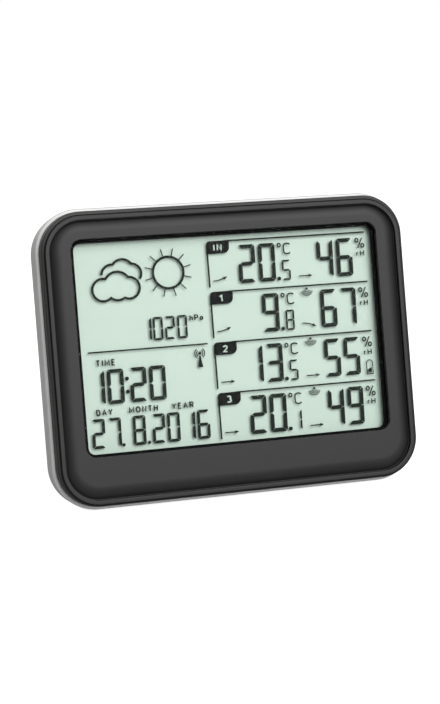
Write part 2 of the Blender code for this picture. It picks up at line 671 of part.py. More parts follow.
def make_contacts(device):
    low, high = CELL_Z
    bm = bmesh.new()
    add_box(bm, (PLATE_X - 0.2, PLATE_X + 0.2), (11.0, 23.0), (low - 5.5, high + 5.5))
    add_mesh("contact_bridge", bm, device, "nickel")
    for name, z in (("contact_negative", low), ("contact_positive", high)):
        bm = bmesh.new()
        # An L in plan: the plate stands behind the cell and its tag runs out through the wall.
        front, back = TAG_DEPTH - 0.2, TAG_DEPTH + 0.2
        near, far = PLATE_X - 0.2, PLATE_X + 0.2
        outline = [(near, 23.0), (near, front), (40.0, front), (40.0, back), (far, back), (far, 23.0)]
        ends = []
        for level in (z - 1.5, z + 1.5):
            ends.append([bm.verts.new(Vector((-x, depth, level)) * MM) for x, depth in outline])
        bridge(bm, *ends)
        bm.faces.new(ends[0])
        bm.faces.new(ends[1])
        add_mesh(name, bm, device, "nickel")


def make_leads(device):
    for name, z, slot in (("lead_black", CELL_Z[0], "black_wire"), ("lead_red", CELL_Z[1], "red_wire")):
        route = [(-38.8, 0.95, 0.0), (-41.5, 1.4, -0.8), (-44.5, 1.2, -2.6), (-46.8, 0.0, -4.4)]
        points = [(x, TAG_DEPTH + rise, z + along) for x, rise, along in route]
        wire(name, points, 0.6, slot, device)


def make_table_stand(device):
    """Flap with moulded trunnions; drawn folded, then swung out square to the back."""
    hinge = empty("stand_hinge", device, (0.0, HINGE_DEPTH, HINGE_Z), tilt=-math.pi / 2)
    t = STAND_HALF_T
    heel = []
    for step in range(7):
        angle = math.pi * step / 6
        heel.append((-t * math.cos(angle), -t * math.sin(angle)))
    land_rise = STAND_LAND * math.tan(LEAN)
    tip = [(t, STAND_LENGTH - STAND_LAND), (t - land_rise, STAND_LENGTH)]
    tip += [(0.5 - t, STAND_LENGTH), (-t, STAND_LENGTH - 0.5)]
    bm = bmesh.new()
    add_prism(bm, heel + tip, (-STAND_HALF_W, STAND_HALF_W))
    stand = add_mesh("table_stand", bm, hinge, "silver_plastic")
    pins = bmesh.new()
    for side in (-1, 1):
        reach = sorted((side * (STAND_HALF_W - 1.0), side * 33.8))
        add_turned_x(pins, TRUNNION_RADIUS, reach, 0.0, 0.0)
    combine(stand, add_mesh("stand_trunnions", pins, hinge), "UNION")
    notch = bmesh.new()
    grip = [(level, 9.0, 6.0, 3.0) for level in (-t - 1, t + 1)]
    add_stack(notch, grip, (0.0, STAND_LENGTH + 2.0), steps=3)
    combine(stand, add_mesh("stand_notch", notch, hinge), "DIFFERENCE")


def make_screws(device):
    for number, place in enumerate(case_screw_places(), start=1):
        seat = SCREW_SEAT + GAP
        shank = [(5.0, 0.8), (6.0, 1.25), (seat, 1.25)]
        head = [(seat, 2.6), (seat + 1.3, 2.6), (seat + 2.0, 1.8)]
        shape = round_sections(*shank, *head)
        stack(f"case_screw_{number}", shape, "screw_steel", device, place, steps=3)
    for number, place in enumerate(board_screw_places(), start=1):
        shape = round_sections((7.9, 0.75), (11.4, 0.75), (11.4, 1.9), (12.2, 1.9), (12.6, 1.3))
        stack(f"board_screw_{number}", shape, "screw_steel", device, place, steps=3)


def stand_on_origin(device):
    """Moves the whole station so that its base's middle is the origin."""
    bpy.context.view_layer.update()
    graph = bpy.context.evaluated_depsgraph_get()
    found = []
    for item in bpy.data.objects:
        if item.type == "EMPTY" or item.hide_render:
            continue
        made = item.evaluated_get(graph)
        mesh = made.to_mesh()
        found += [made.matrix_world @ vertex.co for vertex in mesh.vertices]
        made.to_mesh_clear()
    low = [min(point[axis] for point in found) for axis in range(3)]
    high = [max(point[axis] for point in found) for axis in range(3)]
    device.location.x -= (low[0] + high[0]) / 2
    device.location.y -= (low[1] + high[1]) / 2
    device.location.z -= low[2]


def main():
    clear_scene()
    device = empty("device", location=(0, 0, -TABLE), tilt=-LEAN)
    make_front_bezel(device)
    make_display(device)
    make_lcd_carrier(device)
    make_main_board(device)
    make_board_parts(device)
    make_clock_aerial(device)
    make_switches(device)
    for side, names in zip((-1, 1), KEY_NAMES):
        for name, z in zip(names, KEY_Z):
            make_key(device, name, side * KEY_X, z)
    make_rear_shell(device)
    make_battery_door(device)
    make_battery(device, 1, CELL_Z[0], 1)
    make_battery(device, 2, CELL_Z[1], -1)
    make_contact_spring(device, 1, CELL_Z[0], -1)
    make_contact_spring(device, 2, CELL_Z[1], 1)
    make_contacts(device)
    make_leads(device)
    make_table_stand(device)
    make_feet(device)
    make_screws(device)
    stand_on_origin(device)


main()
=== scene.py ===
"""Looks of the desktop weather station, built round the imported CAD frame.

Shapes are drawn in the housing's own upright frame, in millimetres: x to the right, y backwards
from the crest of the front lip ("depth"), z up the panel. DEVICE turns that into the row frame.
"""
import json
import math

import bmesh
import bpy
from mathutils import Matrix, Vector
from mathutils.geometry import delaunay_2d_cdt


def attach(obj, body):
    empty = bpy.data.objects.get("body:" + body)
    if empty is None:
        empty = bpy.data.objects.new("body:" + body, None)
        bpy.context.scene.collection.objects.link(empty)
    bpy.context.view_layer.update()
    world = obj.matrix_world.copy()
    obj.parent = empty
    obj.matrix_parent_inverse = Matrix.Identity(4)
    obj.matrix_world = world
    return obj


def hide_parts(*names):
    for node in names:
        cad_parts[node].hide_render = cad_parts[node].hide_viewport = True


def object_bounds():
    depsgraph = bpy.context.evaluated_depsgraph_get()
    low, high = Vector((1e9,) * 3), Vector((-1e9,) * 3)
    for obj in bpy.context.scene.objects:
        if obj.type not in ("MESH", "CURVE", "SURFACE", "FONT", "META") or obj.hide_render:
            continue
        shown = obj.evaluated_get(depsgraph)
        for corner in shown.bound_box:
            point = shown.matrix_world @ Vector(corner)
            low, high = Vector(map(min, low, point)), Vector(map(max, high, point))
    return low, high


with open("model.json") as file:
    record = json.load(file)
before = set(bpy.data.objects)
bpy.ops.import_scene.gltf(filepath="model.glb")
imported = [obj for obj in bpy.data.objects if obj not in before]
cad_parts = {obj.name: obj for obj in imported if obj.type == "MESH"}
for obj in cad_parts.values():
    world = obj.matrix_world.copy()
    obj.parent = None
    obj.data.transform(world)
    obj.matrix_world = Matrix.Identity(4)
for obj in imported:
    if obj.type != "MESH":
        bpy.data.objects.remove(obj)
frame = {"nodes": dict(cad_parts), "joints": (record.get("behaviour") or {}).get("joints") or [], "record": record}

CAD_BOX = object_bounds()
MM = 0.001


# --- Frame
def span(points):
    low = Vector([min(point[axis] for point in points) for axis in range(3)])
    high = Vector([max(point[axis] for point in points) for axis in range(3)])
    return low, high


def device_matrix():
    """From upright millimetres to the row frame: keys press square to the leaning panel."""
    press = next(joint["axis"] for joint in frame["joints"] if joint["type"] == "slide")
    turn = Matrix.Rotation(-math.atan2(press[2], -press[1]), 4, "X")
    upright = [turn.inverted() @ vertex.co for vertex in frame["nodes"]["front_bezel"].data.vertices]
    low, high = span(upright)
    origin = Vector(((low.x + high.x) / 2, low.y, (low.z + high.z) / 2))
    return turn @ Matrix.Translation(origin) @ Matrix.Diagonal((MM, MM, MM, 1.0))


DEVICE = device_matrix()


def local_box(node):
    """(lowest, highest) corner of a CAD node in upright millimetres."""
    back = DEVICE.inverted()
    return span([back @ vertex.co for vertex in frame["nodes"][node].data.vertices])


def local_middle(node):
    low, high = local_box(node)
    return (low + high) / 2


def hinge(name):
    """A joint's place in upright millimetres."""
    place = next(joint["pos_m"] for joint in frame["joints"] if joint["name"] == name)
    return DEVICE.inverted() @ Vector(place)


SKIRT_OUT = 3.75  # the bezel's side stands this far outside the raised lip's inner edge
SEAM_DEPTH = 7.6  # and ends this far behind the lip's crest
TONGUE_END = 11.2
GAP = 0.35  # clearance between neighbouring pieces
GASKET_OUT = 1.5  # the gasket reaches this far behind the window's rim
PANEL_HALF_W = local_box("front_bezel")[1].x - SKIRT_OUT
PANEL_HALF_H = local_box("front_bezel")[1].z - SKIRT_OUT
PANEL_RADIUS = 15.4
WINDOW_HALF_W = local_box("display_gasket")[1].x - GASKET_OUT
WINDOW_Z = local_middle("display_gasket").z
WINDOW_HALF_H = local_box("display_gasket")[1].z - WINDOW_Z - GASKET_OUT
WINDOW_RADIUS = 5.0
CASE_DEPTH = local_box("battery_door")[1].y
RIM_OUT = local_box("rear_shell")[1].x - PANEL_HALF_W
SHELL_OUT = 4.86  # the shell's wall drafts in from its rim to this
EDGE_ROUND = 6.0
WALL = 2.0
CORNER_STEPS = 20
CHAMFER = 0.35  # broken edge round every opening in the back


# --- Mesh helpers
def arc(centre, radius, start, end, steps):
    """Points on an arc, angles in degrees, both ends included."""
    angles = [math.radians(start + (end - start) * step / steps) for step in range(steps + 1)]
    return [(centre[0] + radius * math.cos(a), centre[1] + radius * math.sin(a)) for a in angles]


def rounded_rectangle(half_w, half_h, radius, steps):
    points = []
    for corner, (side_x, side_z) in enumerate(((1, 1), (-1, 1), (-1, -1), (1, -1))):
        centre = (side_x * (half_w - radius), side_z * (half_h - radius))
        points += arc(centre, radius, corner * 90, corner * 90 + 90, steps)
    return points


def add_ring(bm, depth, half_w, half_h, radius, centre=(0, 0), steps=CORNER_STEPS):
    outline = rounded_rectangle(half_w, half_h, radius, steps)
    return [bm.verts.new((x + centre[0], depth, z + centre[1])) for x, z in outline]


def bridge(bm, first, second):
    count = len(first)
    for i in range(count):
        j = (i + 1) % count
        bm.faces.new((first[i], first[j], second[j], second[i]))


def loft(bm, rings, closed=False):
    """Bridges rings in turn; a closed loft comes back to its first ring, an open one is capped."""
    for first, second in zip(rings, rings[1:] + (rings[:1] if closed else [])):
        bridge(bm, first, second)
    if not closed:
        bm.faces.new(rings[0])
        bm.faces.new(rings[-1])


def add_stack(bm, sections, centre=(0, 0), steps=6):
    """A capped loft through (depth, half_w, half_h, radius) sections."""
    loft(bm, [add_ring(bm, *section, centre=centre, steps=steps) for section in sections])


def add_turned(bm, profile, centre=(0, 0), steps=8):
    add_stack(bm, [(depth, radius, radius, radius) for depth, radius in profile], centre, steps)


def add_box(bm, x, depth, z):
    corners = [bm.verts.new((a, b, c)) for a in x for b in depth for c in z]
    for face in ((0, 1, 3, 2), (4, 6, 7, 5), (0, 4, 5, 1), (2, 3, 7, 6), (0, 2, 6, 4), (1, 5, 7, 3)):
        bm.faces.new([corners[i] for i in face])


def add_prism(bm, outline, x):
    """An outline of (depth, z) points, extruded across x = (low, high)."""
    loft(bm, [[bm.verts.new((across, depth, z)) for depth, z in outline] for across in x])


def add_opening(bm, shape, centre, floor, surface, steps=6):
    """A cutter for a recess whose rim is broken by a small chamfer at the surface."""
    half_w, half_h, radius = shape
    wide = (half_w + CHAMFER, half_h + CHAMFER, radius + CHAMFER)
    sections = [(floor, *shape), (surface - CHAMFER, *shape), (surface, *wide), (surface + 1.0, *wide)]
    add_stack(bm, sections, centre, steps)


def add_recess(bm, half_w, z, radius, floor, steps):
    """An opening in the middle of the back, between two heights."""
    add_opening(bm, (half_w, (z[1] - z[0]) / 2, radius), (0, sum(z) / 2), floor, CASE_DEPTH, steps)


def to_mesh(bm, name):
    bmesh.ops.remove_doubles(bm, verts=bm.verts, dist=0.002)
    bmesh.ops.recalc_face_normals(bm, faces=bm.faces)
    mesh = bpy.data.meshes.new(name)
    bm.to_mesh(mesh)
    bm.free()
    return mesh


def link(name, data):
    item = bpy.data.objects.new(name, data)
    bpy.context.scene.collection.objects.link(item)
    return item


def solid(name, bm):
    return link(name, to_mesh(bm, name))


def carve(target, bm, operation="DIFFERENCE"):
    """Applies an exact boolean with a temporary cutter, both still upright and in millimetres."""
    cutter = solid("cutter", bm)
    modifier = target.modifiers.new("carve", "BOOLEAN")
    modifier.operation = operation
    modifier.solver = "EXACT"
    modifier.object = cutter
    graph = bpy.context.evaluated_depsgraph_get()
    made = bpy.data.meshes.new_from_object(target.evaluated_get(graph))
    target.modifiers.clear()
    target.data = made
    bpy.data.objects.remove(cutter)
    joined = bmesh.new()
    joined.from_mesh(made)
    bmesh.ops.remove_doubles(joined, verts=joined.verts, dist=0.002)
    joined.to_mesh(made)
    joined.free()


def finish_piece(item, body, slot=None, nodes=(), matrix=None, paint=None, sharp=32):
    """Moves a piece into the row frame; gives it shading, a material and a CAD body to ride on.

    Its slot names its paint too, unless another paint is given."""
    item.data.transform(matrix or DEVICE)
    item.data.materials.clear()
    item.data.materials.append(paint or PAINTS[slot])
    item.data.polygons.foreach_set("material_index", [0] * len(item.data.polygons))
    item.data.shade_smooth()
    item.data.set_sharp_from_angle(angle=math.radians(sharp))
    modifier = item.modifiers.new("even_normals", "WEIGHTED_NORMAL")
    modifier.keep_sharp = True
    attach(item, body)
    if nodes:
        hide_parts(*nodes)


def piece(name, bm, *terms, **more):
    finish_piece(solid(name, bm), *terms, **more)


# --- Materials
def principled(name):
    made = bpy.data.materials.new(name)
    made.use_nodes = True
    tree = made.node_tree
    return made, tree, tree.nodes["Principled BSDF"]


def object_noise(tree, scale, detail=2.0):
    place = tree.nodes.new("ShaderNodeTexCoord")
    noise = tree.nodes.new("ShaderNodeTexNoise")
    noise.inputs["Scale"].default_value = scale
    noise.inputs["Detail"].default_value = detail
    tree.links.new(place.outputs["Object"], noise.inputs["Vector"])
    return noise.outputs["Fac"]


def blend_colours(tree, share, first, second):
    ramp = tree.nodes.new("ShaderNodeValToRGB")
    ramp.color_ramp.elements[0].position = 0.3
    ramp.color_ramp.elements[0].color = (*first, 1.0)
    ramp.color_ramp.elements[1].position = 0.7
    ramp.color_ramp.elements[1].color = (*second, 1.0)
    tree.links.new(share, ramp.inputs["Fac"])
    return ramp.outputs["Color"]


def rescale(tree, value, low, high, end="To"):
    """Maps 0 to 1 onto low to high or, with end="From", low to high onto 0 to 1."""
    node = tree.nodes.new("ShaderNodeMapRange")
    node.inputs[f"{end} Min"].default_value = low
    node.inputs[f"{end} Max"].default_value = high
    tree.links.new(value, node.inputs["Value"])
    return node.outputs["Result"]


def moulded(name, colour, rough=0.5, metal=0.0, vary=0.06, grain=2500, depth=0.01, patch=60, gleam=0.5):
    """Moulded, printed or drawn surface: faint colour patches, uneven gloss and a fine relief."""
    made, tree, shader = principled(name)
    patches = object_noise(tree, patch, 3.0)
    darker = [channel * (1 - vary) for channel in colour]
    lighter = [min(channel * (1 + vary), 1.0) for channel in colour]
    tree.links.new(blend_colours(tree, patches, darker, lighter), shader.inputs["Base Color"])
    fine = object_noise(tree, grain, 1.0)
    tree.links.new(rescale(tree, fine, rough - 0.05, rough + 0.05), shader.inputs["Roughness"])
    shader.inputs["Metallic"].default_value = metal
    shader.inputs["Specular IOR Level"].default_value = gleam
    bump = tree.nodes.new("ShaderNodeBump")
    bump.inputs["Strength"].default_value = 0.5
    bump.inputs["Distance"].default_value = depth * MM
    tree.links.new(fine, bump.inputs["Height"])
    tree.links.new(bump.outputs["Normal"], shader.inputs["Normal"])
    return made


def clear_sheet(name, tint, gloss_ior):
    """Thin clear sheet: light passes straight through, and a little is mirrored."""
    made, tree, _ = principled(name)
    tree.nodes.clear()
    through = tree.nodes.new("ShaderNodeBsdfTransparent")
    through.inputs["Color"].default_value = (*tint, 1.0)
    mirror = tree.nodes.new("ShaderNodeBsdfGlossy")
    haze = rescale(tree, object_noise(tree, 40), 0.02, 0.05)
    tree.links.new(haze, mirror.inputs["Roughness"])
    fresnel = tree.nodes.new("ShaderNodeFresnel")
    fresnel.inputs["IOR"].default_value = gloss_ior
    mix = tree.nodes.new("ShaderNodeMixShader")
    out = tree.nodes.new("ShaderNodeOutputMaterial")
    tree.links.new(fresnel.outputs["Fac"], mix.inputs["Fac"])
    tree.links.new(through.outputs["BSDF"], mix.inputs[1])
    tree.links.new(mirror.outputs["BSDF"], mix.inputs[2])
    tree.links.new(mix.outputs["Shader"], out.inputs["Surface"])
    return made


def cell_sleeve(name, towards):
    """Printed sleeve of a battery: green body with a pale band at its positive end."""
    made, tree, shader = principled(name)
    place = tree.nodes.new("ShaderNodeTexCoord")
    axes = tree.nodes.new("ShaderNodeSeparateXYZ")
    tree.links.new(place.outputs["Object"], axes.inputs["Vector"])
    along = tree.nodes.new("ShaderNodeMath")
    along.operation = "MULTIPLY"
    along.inputs[1].default_value = towards
    tree.links.new(axes.outputs["X"], along.inputs[0])
    ramp = tree.nodes.new("ShaderNodeValToRGB")
    ramp.color_ramp.interpolation = "CONSTANT"
    stops = ramp.color_ramp.elements
    stops[0].color = (0.03, 0.16, 0.08, 1.0)
    stops[1].position = 0.78
    stops[1].color = (0.72, 0.72, 0.70, 1.0)
    rim = stops.new(0.75)
    rim.color = (0.35, 0.42, 0.05, 1.0)
    share = rescale(tree, along.outputs[0], -0.026, 0.026, end="From")
    tree.links.new(share, ramp.inputs["Fac"])
    tree.links.new(ramp.outputs["Color"], shader.inputs["Base Color"])
    gloss = rescale(tree, object_noise(tree, 300), 0.22, 0.34)
    tree.links.new(gloss, shader.inputs["Roughness"])
    shader.inputs["Coat Weight"].default_value = 0.3
    return made


PAINTS = {}


def add_paint(name, *finish, **more):
    PAINTS[name] = moulded(name, *finish, **more)


add_paint("bezel_plastic", (0.009, 0.0088, 0.0088), 0.50, vary=0.05, grain=3500, depth=0.02, gleam=0.44)
add_paint("silver_plastic", (0.68, 0.68, 0.67), 0.48, 0.20, 0.03, 5000, 0.008, gleam=0.4)
PAINTS["clear_acrylic"] = clear_sheet("clear_acrylic", (0.985, 0.99, 0.985), 1.07)
add_paint("black_foam", (0.005, 0.005, 0.0055), 0.85, grain=1800, depth=0.06, gleam=0.1)
add_paint("reflector_film", (0.57, 0.69, 0.613), 0.55, vary=0.012, grain=6000, depth=0.004)
add_paint("carrier_plastic", (0.74, 0.74, 0.71), 0.50)
add_paint("elastomer", (0.26, 0.28, 0.32), 0.75, grain=1500)
add_paint("circuit_board", (0.02, 0.13, 0.05), 0.38, vary=0.18, grain=900, patch=400)
add_paint("epoxy", (0.012, 0.012, 0.012), 0.22, grain=400, depth=0.05)
add_paint("tin_can", (0.62, 0.61, 0.59), 0.28, 1.0, grain=1200)
add_paint("capacitor_sleeve", (0.02, 0.03, 0.09), 0.35)
add_paint("sensor_plastic", (0.82, 0.82, 0.78), 0.45)
add_paint("ferrite", (0.045, 0.045, 0.05), 0.55, vary=0.15, grain=900, depth=0.05)
add_paint("copper_wire", (0.62, 0.27, 0.12), 0.32, 1.0, grain=1500)
add_paint("key_plastic", (0.030, 0.030, 0.031), 0.48, grain=3000, depth=0.02)
add_paint("switch_plastic", (0.025, 0.025, 0.026), 0.45)
add_paint("nickel", (0.62, 0.60, 0.56), 0.25, 1.0, grain=1500)
add_paint("screw_steel", (0.48, 0.48, 0.49), 0.32, 1.0, grain=2000)
add_paint("rubber", (0.018, 0.018, 0.018), 0.80, grain=1500, depth=0.04)
add_paint("red_wire", (0.50, 0.02, 0.015), 0.42)
add_paint("black_wire", (0.012, 0.012, 0.012), 0.42)
add_paint("segment_ink", (0.014, 0.020, 0.016), 0.60, grain=4000, depth=0.002, gleam=0.1)
add_paint("tab_ink", (0.006, 0.008, 0.007), 0.60, grain=4000, depth=0.002, gleam=0.1)
add_paint("key_symbol", (0.55, 0.55, 0.54), 0.50, grain=2500, depth=0.01)


def paint_cad_nodes():
    """Every CAD node that stays in view takes the finish of its own material slot."""
    for part in frame["record"]["subparts"]:
        slot = part["material_slot"]
        if slot in PAINTS:
            mesh = frame["nodes"][part["node"]].data
            mesh.materials.clear()
            mesh.materials.append(PAINTS[slot])


# --- Front bezel
def panel_ring(offset, depth):
    radius = max(PANEL_RADIUS + offset, 1.0)
    return (depth, PANEL_HALF_W + offset, PANEL_HALF_H + offset, radius, 0.0)


def window_ring(offset, depth):
    radius = WINDOW_RADIUS + offset
    return (depth, WINDOW_HALF_W + offset, WINDOW_HALF_H + offset, radius, WINDOW_Z)


def bezel_front_profile():
    """(offset from the lip's inner edge, depth): crowned face, raised lip, stepped shoulder, side."""
    face_start, face_end, face_depth, fall = -6.0, -0.25, 0.30, 1.75
    shares = [step / 12 for step in range(13)]
    points = [(face_start + (face_end - face_start) * s, face_depth + fall * s ** 2.2) for s in shares]
    points += [(-0.08, 2.02), (0.0, 1.75)]
    lip_half, lip_depth, squareness = 1.04, 1.05, 0.3
    for step in range(15):
        angle = math.pi * step / 14
        across = math.copysign(abs(math.cos(angle)) ** squareness, math.cos(angle))
        rise = abs(math.sin(angle)) ** squareness
        points.append((lip_half * (1 - across), lip_depth * (1 - rise)))
    points += [(2.10, 1.60), (2.32, 1.70), (2.55, 1.30)]
    points += arc((3.22, 1.98), 0.42, 296, 360, 4)
    points += [(3.68, 2.8), (3.70, 3.5), (SKIRT_OUT, SEAM_DEPTH - 0.15), (SKIRT_OUT - 0.15, SEAM_DEPTH)]
    return points


def lowered_ring(offset, depth):
    """A ring of the bezel's front: the lip sits a little lower than the window and the outer edge.

    It goes back with the case's lean as it drops, so the lip comes no further forward over the table."""
    fall_start, groove, shoulder, drop = -6.0, 2.32, 3.62, 0.55
    inner_share = (offset - fall_start) / -fall_start
    outer_share = (shoulder - offset) / (shoulder - groove)
    share = max(min(inner_share, outer_share, 1.0), 0.0)
    return (*panel_ring(offset, depth + drop * share * math.tan(LEAN))[:4], -drop * share)


def opening_ring(offset, depth):
    """A ring of the bezel's opening, whose lower edge hides part of the gasket."""
    raised = 0.65
    depth, half_w, half_h, radius, middle = window_ring(offset, depth)
    return (depth, half_w, half_h - raised / 2, radius, middle + raised / 2)


def make_front_bezel():
    inside = [(2.55, SEAM_DEPTH), (2.50, TONGUE_END), (1.60, TONGUE_END), (1.60, 4.0), (1.0, 3.2)]
    inside += [(-5.2, 3.2), (-6.0, 2.5)]
    sections = [opening_ring(0.0, 2.5), opening_ring(0.0, 0.62)]
    sections += [opening_ring(offset, depth) for offset, depth in arc((0.32, 0.62), 0.32, 180, 270, 4)]
    sections += [lowered_ring(*point) for point in bezel_front_profile()]
    sections += [panel_ring(*point) for point in inside]
    bm = bmesh.new()
    loft(bm, [add_ring(bm, *section[:4], centre=(0, section[4])) for section in sections], closed=True)
    bezel = solid("front_bezel_moulding", bm)
    posts = bmesh.new()
    holes = bmesh.new()
    for place in screw_places():
        add_turned(posts, [(1.9, 3.0), (13.6, 3.0)], (place.x, place.z))
        add_turned(holes, [(4.2, SCREW_BORE), (14.2, SCREW_BORE)], (place.x, place.z))
    carve(bezel, posts, "UNION")
    carve(bezel, holes)
    finish_piece(bezel, "housing", "bezel_plastic", ["front_bezel"])


# --- Rear shell
DOOR_HIGH = local_box("battery_door")[1]
DOOR_HALF_W = DOOR_HIGH.x
DOOR_HINGE = hinge("battery_door_swing")
DOOR_LEDGE = 24.7
STAND_HINGE = hinge("stand_fold")
STAND_LENGTH = local_box("table_stand")[1].y - STAND_HINGE.y
STAND_HALF_W = 31.4
STAND_HALF_T = 1.7
RECESS_FLOOR = 22.3
RECESS_HALF_W = 32.0
RECESS_Z = (STAND_HINGE.z - STAND_HALF_T - 0.45, STAND_HINGE.z + STAND_LENGTH + 0.5)
POCKET_HALF_W = 29.6
POCKET_FLOOR = 9.4
POCKET_Z = (-4.0, 27.4)
KEY_HALF = (6.0, 3.6)
KEY_PROUD = 0.9
KEY_NAMES = ("mode", "set", "alarm", "channel", "up", "down")
SCREW_SEAT = 22.6
SCREW_BORE = 1.6
HEAD_BORE = 3.2
TOWER_RADIUS = 4.2  # towers round the case screws
VENT = (7.0, 0.8, 0.75)
VENT_X, VENT_Z, VENT_PITCH = 62.0, -46.0, 4.0
SOUND_HOLES = (-47.0, -44.0, -41.0)
TAB_PLACES = (-18.0, 18.0)  # hooked tabs of the door
TAB_HALF_W = 4.0
PIN_RADIUS = 1.5  # trunnions of the stand, and how far out they end
PIN_END = 33.8
KEYHOLE_Z = 46.0
CELL_NODES = ("battery_1", "battery_2")
LEAN = -DEVICE.to_euler().x


def make_tray():
    """Flat rim with a rounded corner, drafted wall and a round-over to the flat back."""
    centre = SHELL_OUT - EDGE_ROUND
    edge_depth = CASE_DEPTH - EDGE_ROUND
    rim = SEAM_DEPTH + GAP
    outside = [panel_ring(*point) for point in arc((RIM_OUT - 0.9, rim + 0.9), 0.9, 270, 360, 8)]
    outside += [panel_ring(*point) for point in arc((centre, edge_depth), EDGE_ROUND, 0, 90, 12)]
    inner_round = EDGE_ROUND - WALL
    inside = [panel_ring(SHELL_OUT - WALL, rim + 0.12), panel_ring(SHELL_OUT - WALL + 0.12, rim)]
    inside.reverse()
    inside += [panel_ring(*point) for point in arc((centre, edge_depth), inner_round, 0, 90, 6)]
    bm = bmesh.new()
    loft(bm, [add_ring(bm, *section[:4]) for section in inside[::-1] + outside])
    return solid("rear_shell_moulding", bm)


def table_outline(points):
    """Turns (along the table, above the back edge's centre) into (depth, z) of the leaning case."""
    cos, sin = math.cos(LEAN), math.sin(LEAN)
    back, low = CASE_DEPTH - EDGE_ROUND, -(PANEL_HALF_H + SHELL_OUT - EDGE_ROUND)
    return [(back + along * cos - height * sin, low + along * sin + height * cos) for along, height in points]


FOOT_RUN = (-0.8, 4.4)
FOOT_LEVEL = -EDGE_ROUND - 0.15
FOOT_THICK = 0.85
FOOT_SEAT = FOOT_LEVEL + FOOT_THICK + 0.3


FEET = ("rubber_foot_left", "rubber_foot_right")


def add_foot_prism(bm, node, outline, margin=0.0):
    """An outline drawn from the table, as long as a foot and a margin at both ends."""
    low, high = local_box(node)
    add_prism(bm, table_outline(outline), (low.x - margin, high.x + margin))


def make_feet():
    """Rubber pads with softened edges, let into the back edge of the case."""
    front, back = FOOT_RUN
    top = FOOT_LEVEL + FOOT_THICK
    soft = 0.25
    outline = [(front + soft, FOOT_LEVEL), (back - soft, FOOT_LEVEL), (back, FOOT_LEVEL + soft)]
    outline += [(back, top), (front, top), (front, FOOT_LEVEL + soft)]
    for node in FEET:
        bm = bmesh.new()
        add_foot_prism(bm, node, outline)
        bmesh.ops.recalc_face_normals(bm, faces=bm.faces)
        ends = [face for face in bm.faces if abs(face.normal.x) > 0.9]
        rims = [edge for face in ends for edge in face.edges]
        bmesh.ops.bevel(bm, geom=rims, offset=0.2, segments=2, profile=0.5, affect="EDGES")
        piece(f"{node}_pad", bm, "housing", "rubber", [node])


def screw_places():
    return [local_middle(f"case_screw_{number}") for number in range(1, 5)]


